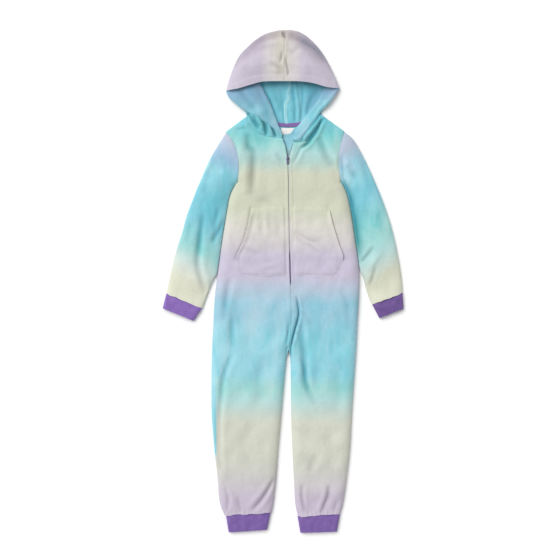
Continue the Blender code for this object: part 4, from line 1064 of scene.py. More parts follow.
def cuff(name):
    """A flattened tube of rib, its ribs raised along the limb, drawn in at the seam."""
    size = CUFFS[name]
    top, foot = cuff_seam(name), np.array([size.foot_a, size.foot_b], float)
    down = (foot - top).mean(axis=0)
    top += down / np.linalg.norm(down) * SEAM
    wide = np.linalg.norm(top[1] - top[0])
    wall = cloth().rib_wall / MM
    pitch = cloth().rib_pitch / MM
    ribs = round(wide / pitch)
    shares = np.linspace(0, 1, 5 * ribs + 1)
    edge = CUFF_HEIGHT / 2 - 0.8
    rings, relief = [], []
    for v in np.concatenate([[0, 0.02], np.linspace(0.06, 0.94, 15), [0.975, 1]]):
        a, b = top + (foot - top) * v
        inward = (b - a) / np.linalg.norm(b - a) * wall / 2
        bow = 0.9 * math.sin(math.pi * v)
        plan = a + inward + (b - a - 2 * inward) * shares[:, None]
        off = np.minimum(shares, 1 - shares) * np.linalg.norm(b - a)
        full = CUFF_HEIGHT - wall / 2 + 0.5 * math.sin(math.pi * v) - 0.9 * bell(v / 0.08)
        round_top = edge + (full - edge) * dome(off / CUFF_ROUND)
        waves = 0.35 * swell(plan, 51, 16, 40, 14) * dome(off / CUFF_ROUND)
        rings.append(tube_ring(plan, round_top + waves * (1 + bow), edge, wall))
        rib = 0.5 - 0.5 * np.cos(shares * ribs * math.tau)
        rib = (rib ** 0.7 - 0.6) * 0.55 * (1 - 0.8 * bell((1 - v) / 0.03))
        relief.append(np.concatenate([rib, rib[-2:0:-1]]))
    finish = rib_knit(*RIB_SHADE.get(name, RIB_PLAIN))
    made = add_tube(f"rib_{name}", np.array(rings), wall - 0.5, [finish], relief=np.array(relief))
    return join_cloth(made, name, "rib", (2.1 * wide * MM, 0.045))


# ============================================================ hood
HOOD_COLUMNS = 46
CORD_OFF = 1.3  # from the hood's centre seam to the middle of its allowance, which stands as a cord
FINER = 5  # rows of the fine hood between two nodes of its outline
RIM_NODES, FACE_NODE, LAPEL_END = 15, 8, 12


def hood_rim(side):
    """The hood half's outer edge: crown fold, lapel's free rim, then down to the neck seam."""
    crown = laid(CROWN_SIDE[side], even(8))
    lapel = laid(LAPEL_RIM[side], even(4))
    corner = np.array(NECK_BACK[side][-1], float) + (-SIGN[side] * 0.6, 1.6)
    neck_side = along(np.array([lapel[-1], corner]), even(3))
    rim = np.vstack([crown, lapel[1:], neck_side[1:]])
    inset = shifted(rim, SIGN[side] * fleece() / 2)
    inset[-1] = corner
    return refined(inset, FINER, (FACE_NODE, LAPEL_END))


def graded(length, last_steps=(2.6, 1.0)):
    head = np.linspace(0, length - 4.5, HOOD_COLUMNS - len(last_steps))
    return np.concatenate([head, [length - s for s in last_steps], [length]]) / length


def hood_back(side, rim):
    """Inside of the hood, from the crown to the back neck seam."""
    last = RIM_NODES * FINER
    seam = laid(BACK_SEAM, np.linspace(0, 1, last + 1) ** 0.9)
    seam[:, 0] += half_seam(side)
    shares = even(HOOD_COLUMNS)[:, None]
    neck = shifted(laid(NECK_BACK[side], shares[:, 0]), half_seam(side))
    neck[0] = (seam[-1, 0], seam[-1, 1] + SEAM / 2)
    neck[-1] = rim[-1]
    bow = neck - (neck[0] + (neck[-1] - neck[0]) * shares)
    rows = []
    for k, (a, b) in enumerate(zip(seam, rim)):
        j = k / FINER
        blend = max(0.0, (j - (RIM_NODES - 4)) / 4)
        steps = graded(np.linalg.norm(b - a))[:, None] * (1 - blend) + shares * blend
        plan = a + (b - a) * steps + bow * max(0.0, 1 - (RIM_NODES - j) / 5)
        if k == last:
            plan = neck
        if k == 0:
            plan = laid(CROWN_TOP[side], shares[:, 0])
            plan[:, 0] += half_seam(side)
        rows.append(back_row(plan, j))
    return lining_relief(np.array(rows))


def back_row(plan, j):
    off = np.linalg.norm(plan - plan[-1], axis=1)
    low = fleece() / 2
    slope = np.clip(1 - off / table(LAPEL_WIDTH, j), 0, 1)
    z = low + (table(RIM_HEIGHT, j) - low) * slope ** (2 if j < 8 else 1.3)
    if j == 0:
        z = np.full(len(plan), FOLD_EDGE)
    return np.column_stack([plan, z])


def lining_relief(rows):
    """Folds of the hood's inside, and its centre seam raised as a cord."""
    plan, z = rows[..., :2], rows[..., 2].copy()
    seam_gap = reach(plan, curve(BACK_SEAM))
    rim_off = np.linalg.norm(rows[:, -1:, :2] - plan, axis=-1)
    low = smooth((plan[..., 1] - LINING_LOW) / 12)
    inside = smooth(rim_off / 30) * low * smooth((LINING_HIGH - plan[..., 1]) / 30)
    creases = np.maximum(folded(plan, HOOD_FOLDS) + 0.5 * swell(plan, 61, 24, 70), 0)
    z += creases * inside * smooth(seam_gap / 7)
    reaches = smooth((plan[..., 1] - LINING_LOW) / 8)
    reaches *= smooth((LINING_HIGH - 40 - plan[..., 1]) / 30)
    z += 2.6 * bell((seam_gap - CORD_OFF) / 1.6) * reaches
    return np.dstack([plan, z])


def hood_crown(side, rim, back):
    """Outside of the crown, from its fold to the hem over the face."""
    last = FACE_NODE * FINER
    seam = laid(CROWN_SEAM, even(last))
    seam[:, 0] += half_seam(side)
    arc = laid(FACE_ARC[side], even(HOOD_COLUMNS))
    arc[0, 0] = seam[-1, 0]
    arc[-1] = rim[last]
    straight = arc[0] + (arc[-1] - arc[0]) * even(HOOD_COLUMNS)[:, None]
    fold_line = np.vstack([back[0, :, :2], rim[1:last + 1]])
    hem_line = curve(FACE_ARC[side])
    rows = [back[0]]
    for k in range(1, last + 1):
        j = k / FINER
        a, b = seam[k], rim[k]
        steps = graded(np.linalg.norm(b - a))[:, None]
        plan = a + (b - a) * steps + (arc - straight) * (j / 8) ** 1.5
        off = reach(plan, fold_line)
        edge = table(RIM_HEIGHT, j)
        full = table(CROWN_HEIGHT, j / 8) - fleece() / 2
        rise = dome(off / 46)
        if side == "right":
            facet = 0.35 * dome(off / 36) + 0.65 * np.clip(off / 36, 0, 1)
            rise += (facet - rise) * (1 - smooth((j - 4.5) / 3)) * smooth(j / 0.8)
        z = edge + (full - edge) * rise
        z += folded(plan, CROWN_FOLDS) * smooth(off / 6) + lay_relief(plan, 9) * smooth(off / 14)
        z += sewn_in(plan, curve(CROWN_SEAM), depth=1.0, width=3.0)
        hem = reach(plan, hem_line)
        doubled = 0.7 * (1 - smooth((hem - 15) / 5)) - 0.8 * bell((hem - cloth().hem / MM) / 2.0)
        z += doubled * smooth(off / 16)
        rows.append(np.column_stack([plan, np.maximum(z, LOWEST)]))
    rows = np.array(rows)
    rows[:, -1] = back[:last + 1, -1]
    return rows


def levelled(heights):
    """Running mean of 17 heights, 8 shorter at each end."""
    return np.convolve(heights, np.ones(17) / 17, "valid")


def hood_band(side, back):
    """Gathered neck of the hood beside the zip, from its folded rim down to the neck seam."""
    first = LAPEL_END * FINER
    start = back[first:, -1]
    count = 84
    seam = shifted(neck_line(side), half_seam(side))
    seam = along(seam, even(count))[::-1]
    seam_z = front_height(seam, side)
    seam[0], seam_z[0] = start[-1, :2], start[-1, 2]
    rim = laid(BAND_RIM[side], even(count))
    rim[0] = start[0, :2]
    across_band = even(len(start) - 1)
    rows = [start]
    for r in range(1, count + 1):
        a = r / count
        level = np.interp(a, even(count), levelled(np.pad(seam_z, 8, "edge")))
        lift = start[0, 2] * (1 - smooth(a / 0.2)) + (level + 9.0) * smooth(a / 0.2)
        lift -= 5.0 * smooth((a - 0.72) / 0.28)
        at = rim[r] + (seam[r] - rim[r]) * across_band[:, None]
        z = lift + (seam_z[r] - lift) * across_band ** 1.6
        depth = folded(at, NECK_FOLDS) + 0.3 * swell(at, 65, 12, 30)
        depth *= (0.6 + 0.4 * smooth(across_band / 0.3)) * smooth(a / 0.05)
        z = z + depth * (1 - across_band ** 8)
        rows.append(np.column_stack([at, np.maximum(z, LOWEST)]))
    return np.array(rows)


def zip_guard():
    """The facing's tail behind the open zip, from the right side under the left."""
    foot, head = laid(GUARD_FOOT, even(24)), laid(GUARD_TOP, even(24))
    rows = []
    for t in even(36):
        plan = foot + (head - foot) * t
        z = 5.0 + 0.25 * swell(plan, 71, 12, 30) + 0.4 * bell((np.arange(25) - 15) / 1.6) * t
        rows.append(np.column_stack([plan, np.maximum(z, 4.9)]))
    sheet = grid_sheet(np.array(rows))
    made = add_cloth("plush_zip_guard", sheet, GUARD_WALL, [plush("lapel_right")])
    return join_cloth(made, None, "plush_lavender", (0.056, 0.088), area=0.0023)


def lapel(side, back, band):
    """The hood's facing from its rim to where it rolls off the lining, down to the zip."""
    first, end = FACE_NODE * FINER, LAPEL_END * FINER
    clear = fleece() + 0.2
    outer = np.vstack([back[first:end, -1] + (0, 0, clear), band[:-2, 0] + (0, 0, clear - 1.4)])
    outer[:8, 2] -= clear * np.linspace(1, 0, 8)
    count = 110
    outer = along(outer, even(count))
    outer[8:-8, 2] = levelled(outer[:, 2])
    inner = laid(VALLEY[side], even(count))
    away = outer[:, :2] - inner
    away /= np.linalg.norm(away, axis=1, keepdims=True)
    shares = np.concatenate([[0.02], np.linspace(0.06, 0.97, 26)])
    rows = []
    for k in range(count + 1):
        t = k / count
        stand = LAPEL_STAND[side] * (0.35 + 0.65 * smooth(t / 0.15))
        stand *= 1 - 0.15 * smooth((t - 0.78) / 0.22)
        rim, top, edge = outer[k, :2], outer[k, 2], inner[k]
        wide = np.linalg.norm(rim - edge)
        plan = rim + (edge - rim) * shares[:, None]
        off = shares * wide
        under = 1.1 + (top - clear - 1.1) * np.clip(1 - off / 50, 0, 1) ** 1.3
        z = np.maximum(under + clear, top + (stand + 1.1 - top) * smooth(shares))
        z += LAPEL_BULGE[side] * np.sin(math.pi * shares ** 1.25) * smooth(wide / 50)
        relief = 0.3 * swell(plan, 67, 26, 70) + folded(plan, LAPEL_FOLDS)
        relief += ROLL * bell((off - 3.0) / 3.4)
        z = np.maximum(z + relief * smooth(off / 5), LOWEST)
        low = min(stand, z[-1]) - 1.0
        rolled = [(*(rim + away[k] * out), top - down) for out, down in ((1.1, 1.9), (0.9, 0.5))]
        turned = [(*(edge + away[k] * out), height) for out, height in (
            (-0.9, low - 1.0), (-0.6, low * 0.45 + 1.2), (1.6, max(low * 0.25, 2.4)))]
        rows.append(np.vstack([rolled, np.column_stack([plan, z]), turned]))
    rows = np.array(rows)
    rows[..., 2] = np.maximum(rows[..., 2], 1.3)
    rows[:, -3:, :2] += 0.5 * swell(rows[:, -3:, :2], 69, 20, 50)[..., None]
    sheet = grid_sheet(rows)
    made = add_cloth(f"plush_lapel_{side}", sheet, fleece() - LAPEL_THIN,
                     [plush(f"lapel_{side}")], folds=LAPEL_FOLDS)
    return join_cloth(made, None, "plush_lavender", (0.075, 0.21), area=LAPEL_AREA[side])


def hood(side):
    """Back, crown and neck band of one half of the hood, joined on the edges they share."""
    rim = hood_rim(side)
    back = hood_back(side, rim)
    top = hood_crown(side, rim, back)
    band = hood_band(side, back)
    face, first = FACE_NODE * FINER, LAPEL_END * FINER
    back_index = numbered(back)
    fresh = top[1:, :-1]
    top_index = np.zeros(top.shape[:2], int)
    top_index[0] = back_index[0]
    top_index[:, -1] = back_index[:face + 1, -1]
    top_index[1:, :-1] = back_index.size + numbered(fresh)
    band_index = np.zeros(band.shape[:2], int)
    band_index[0] = back_index[first:, -1]
    band_index[1:] = back_index.size + numbered(fresh).size + numbered(band[1:])
    points = np.vstack([back.reshape(-1, 3), fresh.reshape(-1, 3), band[1:].reshape(-1, 3)])
    turn = 1 if side == "left" else -1
    patches = [grid_quads(back_index)[:, ::turn], grid_quads(top_index)[:, ::-turn],
               grid_quads(band_index)[:, ::-turn]]
    sheet = Sheet(points, np.vstack(patches))
    normals = point_normals(sheet)
    for row in (back_index[:, 0], top_index[:, 0], back_index[-1], band_index[:, -1]):
        pin_upright(normals, points, row)
    inside = np.ones(len(sheet.quads), int)
    finishes = [plush_crown(), plush_lining()]
    # painted shade in the troughs of the crown's and neck's folds, and along the lining's shade
    # lines
    made = add_cloth(f"plush_hood_{side}", sheet, fleece(), finishes, normals,
                     (inside, 1 - inside), folds=CROWN_FOLDS + NECK_FOLDS + LINING_SHADE_LINES)
    mark_points(made, "cord", bell((reach(points[:, :2], curve(BACK_SEAM)) - CORD_OFF) / 2.0))
    join_cloth(made, f"hood_{side}", "plush_lavender", (0.165, 0.42), area=0.048)
    lapel(side, back, band)
    if side == "right":
        zip_guard()
    return made


# ============================================================ pockets
def pocket(side):
    """Patch pocket, sewn at top, foot and zip, open at its slanted edge."""
    count = 60
    out = laid(POCKET_OUT[side], even(count))
    centre = centre_line()
    inner_y = np.linspace(POCKET_FOOT, POCKET_TOP, count + 1)
    inner = np.column_stack([np.interp(inner_y, centre[:, 1], centre[:, 0]), inner_y])
    inner[:, 0] += SIGN[side] * POCKET_INSET
    plan = between(out, inner, 44)
    z = front_height(plan, side) + fleece() + POCKET_LIFT
    rows = np.sin(np.pi * even(count))[:, None]
    off = np.linalg.norm(plan - plan[:, :1], axis=-1)
    z += mouth_dip(plan, side)
    y = plan[..., 1]
    open_part = smooth((y - POCKET_TURN + 4) / 14) * smooth((POCKET_TOP - 4 - y) / 20)
    z += POCKET_MOUTH * open_part * np.exp(-off / 22)
    z += (folded(plan, POCKET_FOLDS) + 0.35 * swell(plan, 71, 26, 60)) * smooth(off / 4)
    top_off, foot_off = POCKET_TOP - y, y - POCKET_FOOT
    zip_off = np.linalg.norm(plan - plan[:, -1:], axis=-1)
    for gap, depth in ((top_off, 1.9), (foot_off, 2.4), (zip_off, 2.5)):
        z -= depth * (1 - smooth(gap / 10)) + 0.5 * bell((gap - 4.4) / 1.8) * smooth(off / 5)
    z -= 2.4 * (1 - open_part) * (1 - smooth(off / 10))
    for row_at in POCKET_ROWS:
        z -= (1.8 if side == "left" else 0.9) * bell((off - row_at) / 1.9) * rows ** 0.3
    sheet = grid_sheet(np.dstack([plan, z]))
    made = add_cloth(f"plush_pocket_{side}", sheet, fleece() - POCKET_THIN, [plush("body")],
                     nap=napped(sheet.points, 0.1, 45), folds=POCKET_FOLDS)
    return join_cloth(made, f"pocket_{side}", "plush_cream", (0.145, 0.190), area=0.021,
                      rests_on=[f"plush_front_{side}"])


# ============================================================ zip
def zip_edge(side):
    """The closed and open run of the zip beside one front, from its foot to the neck."""
    line = zip_line(side)
    line = line[line[:, 1] > ZIP_BOTTOM - 4][:-2]
    closed = 1 - smooth((line[:, 1] - SLIDER_Y + 4) / 10)
    line[:, 0] += SIGN[side] * (0.2 + 0.9 * (1 - closed))
    return line


def into_body(line, side):
    """Unit vectors across a line beside the zip, away from the other side."""
    ways = normals_of(line)
    return ways * np.where(ways[:, :1] * SIGN[side] > 0, 1, -1)


def zip_half(side):
    """Woven tape under the front's edge and the coil's teeth sewn along it."""
    line = along(zip_edge(side), even(150))
    inward = into_body(line, side)
    offs = np.array([0.2, 0.9, 3, 6, 9, TAPE_WIDTH - 0.4])
    level = front_height(line + inward * 2.0, side) - ZIP_DROP
    plan = line[:, None] + inward[:, None] * offs[:, None]
    z = np.minimum(front_height(plan, side) - ZIP_DROP, level[:, None]) - 0.1
    sheet = grid_sheet(np.dstack([plan, z]))
    tape = add_cloth(f"zip_tape_{side}", sheet, TAPE_WALL, [woven_tape()])
    join_cloth(tape, f"zip_{side}", "zip", (0.0135, 0.40))
    count = int(length_of(line) / (zip_sizes().coil_pitch / MM))
    shares = (np.arange(count) + (0.5 if side == "left" else 0.0)) / count
    at = along(line, shares)
    heights = np.interp(shares, even(150), level) + COIL_LIFT
    teeth = [capsule(np.array([*(p - w * 0.7), h]), np.array([*w, 0]), *COIL_TOOTH, 6, 5)
             for p, w, h in zip(at, into_body(at, side), heights)]
    join_body(joined_mesh(f"zip_coil_{side}", teeth, [nylon_coil()]), None, "zip")


def capsule(centre, way, length, radius, sides, rings, up=(0, 0, 1)):
    """Points and faces of a small round-ended rod, lying along way."""
    way = way / np.linalg.norm(way)
    across_way = np.cross(up, way)
    across_way /= np.linalg.norm(across_way)
    above = np.cross(way, across_way)
    shape = []
    for t in np.linspace(-1, 1, rings):
        wide = radius * math.sqrt(max(1 - abs(t) ** 3.0, 0.02))
        turn = np.arange(sides) * math.tau / sides
        ring = centre + way * (t * length / 2) + wide * (np.cos(turn)[:, None] * across_way
                                                         + np.sin(turn)[:, None] * above)
        shape.append(ring)
    faces = []
    for r in range(rings - 1):
        for k in range(sides):
            n = (k + 1) % sides
            faces.append((r * sides + k, r * sides + n, (r + 1) * sides + n, (r + 1) * sides + k))
    faces.append(tuple(range(sides))[::-1])
    faces.append(tuple((rings - 1) * sides + k for k in range(sides)))
    return np.vstack(shape), faces


def joined_mesh(name, shapes, finishes):
    """Many small closed shapes as one object."""
    points, faces, used = [], [], 0
    for shape_points, shape_faces in shapes:
        points.append(shape_points)
        faces += [tuple(i + used for i in f) for f in shape_faces]
        used += len(shape_points)
    made = add_mesh(name, np.vstack(points), faces, finishes)
    bm = bmesh.new()
    bm.from_mesh(made.data)
    bmesh.ops.recalc_face_normals(bm, faces=bm.faces)
    bm.to_mesh(made.data)
    bm.free()
    return made


def softened_metal(node, name, body):
    """A frame node's own shape with its edges rounded, as a die casting has them."""
    mesh = frame["nodes"][node].data.copy()
    mesh.materials.clear()
    mesh.materials.append(enamelled_zinc())
    made = placed(name, mesh)
    bm = bmesh.new()
    bm.from_mesh(mesh)
    bmesh.ops.remove_doubles(bm, verts=bm.verts, dist=1e-6)
    bmesh.ops.dissolve_limit(bm, angle_limit=math.radians(2), verts=bm.verts, edges=bm.edges)
    sharp = [e for e in bm.edges if e.is_manifold and e.calc_face_angle(0) > math.radians(25)]
    bmesh.ops.bevel(bm, geom=sharp, offset=zip_sizes().metal_round, segments=3, profile=0.5,
                    affect="EDGES", clamp_overlap=True)
    bmesh.ops.triangulate(bm, faces=[f for f in bm.faces if len(f.verts) > 4])
    bm.to_mesh(mesh)
    bm.free()
    mesh.shade_smooth()
    mesh.set_sharp_from_angle(angle=math.radians(38))
    return join_body(made, node, "zip", body)


# ============================================================ neck tape and label
def strip(name, over, under, thick, finish, bend):
    """A thin strip of woven goods between two rows of plan points, a little bowed."""
    shares = even(8)[None, :, None]
    plan = over[:, None] + (under[:, None] - over[:, None]) * shares
    z = NECK_LOW + thick / 2 + bend * np.sin(math.pi * shares[..., 0])
    z = z + 0.12 * (1 + swell(plan, 81, 9, 24))
    sheet = grid_sheet(np.dstack([plan, np.broadcast_to(z, plan.shape[:2])]))
    return add_cloth(name, sheet, thick, [finish])


def neck_tape():
    ends = [curve(NECK_BACK[side]) for side in SIDES]
    seam = np.vstack([ends[0][:0:-1], ends[1]])
    line = along(seam, np.linspace(*TAPE_SPAN, 60))
    over, under = [line + (0, up) for up in TAPE_EDGES]
    made = strip("neck_tape_woven", over, under, TAPE_WALL, woven_tape(), bend=0.5)
    join_cloth(made, "neck_tape", "tape", (0.010, 0.125))


def neck_label():
    top = np.column_stack([np.linspace(*LABEL_SIDES, 40), np.full(40, LABEL_TOP)])
    foot = top - (0, LABEL_LONG)
    made = strip("neck_label_woven", top, foot, LABEL_WALL, satin_label(), bend=0.7)
    join_cloth(made, "neck_label", "label", (0.037, 0.0165))


# ============================================================ stitching
def seat_on(piece):
    mesh = piece.data
    points = np.empty(len(mesh.vertices) * 3)
    mesh.vertices.foreach_get("co", points)
    faces = [tuple(p.vertices) for p in mesh.polygons]
    return BVHTree.FromPolygons(points.reshape(-1, 3).tolist(), faces)


def stitch_row(tree, line, sizes):
    """Stitches that lie in the pile of the piece below a plan line."""
    pitch, long, thick = sizes.stitch_pitch / MM, sizes.stitch_length / MM, sizes.thread / MM
    count = max(2, int(length_of(line) / pitch))
    shares = (np.arange(count) + 0.5) / count
    middles = along(line, shares)
    ways = np.gradient(middles, axis=0)
    shapes = []
    for at, way in zip(middles, ways):
        hit, normal = tree.ray_cast(Vector((at[0] * MM, at[1] * MM, 0.2)), Vector((0, 0, -1)))[:2]
        if hit is None:
            continue
        normal = np.array(normal)
        run = np.array([*way, 0.0])
        run -= normal * (run @ normal)
        centre = np.array(hit) / MM + normal * (0.12 * thick)
        shapes.append(capsule(centre, run, long, thick / 2, 6, 5, normal))
    return shapes


def stitch_piece(name, piece, lines, slot):
    tree = seat_on(piece)
    shapes = [shape for line in lines for shape in stitch_row(tree, line, sewing())]
    if not shapes:
        raise RuntimeError(f"no stitch of {name} lies on {piece.name}")
    made = joined_mesh(name, shapes, [polyester_thread()])
    return join_body(made, None, slot)


def zip_stitch_lines(side):
    line = zip_line(side)
    line = line[(line[:, 1] > FACING_FOOT) & (line[:, 1] < STITCH_TOP)]
    held = line + (SIGN[side] * FACING[side], 0)
    rows = [held]
    if side == "right":
        rows += [line + (FACING_ROLL, 0), np.array([line[0] + (1.0, 0), held[0]])]
    return rows


def pocket_stitch_lines(side):
    out = curve(POCKET_OUT[side])
    shares = np.linspace(0.03, 0.97, 60)
    rows = [along(shifted(out, -SIGN[side] * off), shares) for off in POCKET_ROWS]
    inner = POCKET_INSET * SIGN[side]
    for y, end in ((POCKET_TOP - 3.2, out[-1]), (POCKET_FOOT + 3.2, out[0])):
        x = np.interp(y, centre_line()[:, 1], centre_line()[:, 0]) + inner
        rows.append(np.linspace((x + SIGN[side] * 2, y), (end[0] - SIGN[side] * 2, y), 20))
    return rows


def hood_stitch_lines(side):
    hem = curve(FACE_ARC[side])
    row = shifted(hem, SIGN[side] * cloth().hem / MM)
    return [along(row, np.linspace(0.01, 0.93, 60))]


# ============================================================ materials
FLEECE = {"Sheen_Weight": 0.35, "Sheen_Roughness": 0.5, "Specular_IOR_Level": 0.12}
MOTTLE = {"Detail": 3.0, "Roughness": 0.6}
PILE_DEPTH_SHADE_TINT = (0.64, 0.88, 0.90)  # painted shade: aqua pile brushed up, darker where it is seen down into its depth
PILE_SHEEN_TINT = (1.34, 1.08, 1.05)  # painted sheen: aqua pile paler where it leans to the light
CREASE_SHADE_TINTS = ((0.72, 0.71, 0.73), (0.33, 0.58, 0.62))  # painted shade in a fold's trough: for pale dyes, for aqua
# partly grey-mauve dye, partly painted shade, over the top of the crown
CROWN_TOP_SHADE_TINT = (0.78, 0.75, 0.76)
BLOOM_AT, BLOOM_WIDE, BLOOM_LONG = (-4.0, 578.0, 0.0), 64, 190  # the crown's cream bloom
TURNED_X = (-170.5, -174.5)  # where the rolled back's aqua begins and is full
TURNED_Y = ((-466.0, -446.0), (-230.0, -260.0))  # the same for its lower and its upper end
NECK_AQUA = (496.0, 470.0)  # where the hood's outside turns from lilac to aqua
CORD_TINT = (2.1, 1.36, 1.24)  # paler along the hood's centre seam
# painted light and shade: the left wrist cuff lit paler, the right one darker in shade; the ankle
# cuffs plain
RIB_SHADE = {"wrist_cuff_left": ("pale", 1.27), "wrist_cuff_right": ("dark", 0.80)}
RIB_PLAIN = ("ankle", 1.0)


def linear(colour):
    """sRGB hex digits as linear light; a dye from the panel is linear already."""
    if not isinstance(colour, str):
        return colour
    values = [int(colour[k:k + 2], 16) / 255 for k in (0, 2, 4)]
    return [v / 12.92 if v <= 0.04045 else ((v + 0.055) / 1.055) ** 2.4 for v in values]


def add_node(tree, kind, *inputs, out=None, stops=(), ease="LINEAR", **named):
    """Adds a shader node and gives its first output that is on, or the one named.

    Inputs are values or sockets to link, in the order of those that are on, or by name with _ for
    a space. Any other name is a setting. Stops, each a place and a colour, fill a ramp."""
    node = tree.nodes.new(f"ShaderNode{kind}")
    for name in [n for n in named if hasattr(node, n)]:
        setattr(node, name, named.pop(name))
    given = list(zip([s for s in node.inputs if s.enabled], inputs))
    given += [(node.inputs[name.replace("_", " ")], value) for name, value in named.items()]
    for socket, value in given:
        if isinstance(value, bpy.types.NodeSocket):
            tree.links.new(value, socket)
        else:
            socket.default_value = value
    if stops:
        node.color_ramp.interpolation = ease
        points = node.color_ramp.elements
        while len(points) < len(stops):
            points.new(0.5)
        for point, (at, colour) in zip(points, stops):
            point.position = at
            point.color = (*linear(colour), 1)
    return node.outputs[out] if out else next(s for s in node.outputs if s.enabled)


def new_material(name, base, rough, **sockets):
    """A material, its tree, its shader with constants set, and the place on the garment in mm."""
    made = bpy.data.materials.new(name)
    made.use_nodes = True
    made.diffuse_color = colour = (*linear(base), 1)
    tree = made.node_tree
    shader = tree.nodes["Principled BSDF"]
    for socket, value in {"Base_Color": colour, "Roughness": rough, **sockets}.items():
        shader.inputs[socket.replace("_", " ")].default_value = value
    metres = add_node(tree, "TexCoord", out="Object")
    place = add_node(tree, "VectorMath", metres, 1 / MM, operation="SCALE")
    return made, tree, shader, place


def dress(tree, shader, colour, height=None, strength=0.0, depth=0.0):
    """Leads a colour, and the height of any fine relief, to a material's shader."""
    tree.links.new(colour, shader.inputs["Base Color"])
    if height is not None:
        bump = add_node(tree, "Bump", Strength=strength, Distance=depth, Height=height)
        tree.links.new(bump, shader.inputs["Normal"])


def varied(tree, factor, by, base=1.0):
    """base + (factor - 0.5) * by"""
    middle = add_node(tree, "Math", factor, 0.5, operation="SUBTRACT")
    return add_node(tree, "Math", middle, by, base, operation="MULTIPLY_ADD")


def beside(tree, x, line):
    """Distance from an upright line."""
    gap = add_node(tree, "Math", x, line, operation="SUBTRACT")
    return add_node(tree, "Math", gap, operation="ABSOLUTE")


def tinted(tree, share, colour, tint):
    """The colour times a tint, as far as the share goes."""
    deeper = add_node(tree, "VectorMath", colour, tint, operation="MULTIPLY")
    return add_node(tree, "Mix", share, colour, deeper, data_type="RGBA")


def piled(tree, shader, place, colour):
    """A dye on brushed plush: painted shade and painted sheen in streaks and patches where the nap
    leans, painted shade in fold troughs, and fine tufts.
    """
    sizes = cloth()
    clump = add_node(tree, "TexNoise", place, Scale=MM / sizes.clump, Detail=3.0, Roughness=0.55,
                     Distortion=0.8)
    tuft = add_node(tree, "TexNoise", place, Scale=MM / sizes.tuft, Roughness=0.6)
    brushed = add_node(tree, "VectorMath", place, (1.0, 0.4, 1.0), operation="MULTIPLY")
    crush = add_node(tree, "TexNoise", brushed, Scale=MM / sizes.streak, Detail=3.0, Distortion=0.6)
    pool = add_node(tree, "TexNoise", brushed, Scale=MM / sizes.streak / 3.4, Distortion=0.3,
                    **MOTTLE)
    # painted shade: streaks and pools where the aqua pile is seen down into its depth
    patches = add_node(tree, "MapRange", crush, 0.56, 0.72, 0.0, 0.85)
    pools = add_node(tree, "MapRange", pool, 0.48, 0.66, 0.0, 0.85)
    deep = add_node(tree, "Math", patches, pools, operation="MAXIMUM")
    aqua = add_node(tree, "MapRange", add_node(tree, "SeparateColor", colour), 0.46, 0.32)
    deep = add_node(tree, "Math", deep, aqua, operation="MULTIPLY")
    pile = tinted(tree, deep, colour, PILE_DEPTH_SHADE_TINT)
    # painted sheen: pools where the aqua pile leans to the light, paler
    lean = add_node(tree, "MapRange", pool, 0.45, 0.30, 0.0, 0.8)
    lean = add_node(tree, "Math", lean, aqua, operation="MULTIPLY")
    pale = add_node(tree, "VectorMath", colour, PILE_SHEEN_TINT, operation="MULTIPLY")
    pile = add_node(tree, "Mix", lean, pile, pale, data_type="RGBA")
    # painted shade: darker colour in the troughs of the folds, as deep as each trough
    flat = [add_node(tree, "VectorMath", pile, t, operation="MULTIPLY") for t in CREASE_SHADE_TINTS]
    flat = add_node(tree, "Mix", aqua, *flat, data_type="RGBA")
    crease_shade = add_node(tree, "Attribute", attribute_name="crease_shade", out="Fac")
    pile = add_node(tree, "Mix", crease_shade, pile, flat, data_type="RGBA")
    shade = 1.0
    for pattern, by in ((clump, 0.13), (crush, 0.17), (tuft, 0.07)):
        shade = varied(tree, pattern, by, shade)
    lit = add_node(tree, "VectorMath", pile, shade, operation="SCALE")
    height = add_node(tree, "Math", tuft, 0.4, clump, operation="MULTIPLY_ADD")
    dress(tree, shader, lit, height, strength=0.22, depth=0.0012)


@cache
def plush(piece):
    """Polyester plush fleece, brushed and dip-dyed: matt, with a soft pale bloom at a slant."""
    made, tree, shader, place = new_material(f"plush_fleece_{piece}", dyes().sky, 0.95, **FLEECE)
    bleed = add_node(tree, "TexNoise", place, Scale=1 / 70, Detail=4.0, Roughness=0.6,
                     Distortion=0.5)
    dip = DIPS[piece]
    dipped = add_node(tree, "VectorMath", place, (dip.x, dip.y, 0.0), operation="DOT_PRODUCT")
    dipped = add_node(tree, "Math", dipped, dip.add, operation="ADD")
    low, high = dip.bands[0].at, dip.bands[-1].at
    wander = varied(tree, bleed, cloth().dye_bleed / MM, dipped)
    share = add_node(tree, "MapRange", wander, low, high)
    stops = [((b.at - low) / (high - low), getattr(dyes(), b.dye)) for b in dip.bands]
    colour = add_node(tree, "ValToRGB", share, stops=stops)
    if piece == "body":
        colour = turned_edge(tree, place, colour)
    piled(tree, shader, place, colour)
    return made


def turned_edge(tree, place, colour):
    """The back's aqua, which rolls round to the front along the left leg's outer edge."""
    x, y, _ = add_node(tree, "SeparateXYZ", place).node.outputs
    share = add_node(tree, "MapRange", x, *TURNED_X)
    for run in TURNED_Y:
        within = add_node(tree, "MapRange", y, *run)
        share = add_node(tree, "Math", share, within, operation="MULTIPLY")
    return add_node(tree, "Mix", share, colour, (*dyes().lagoon, 1), data_type="RGBA")


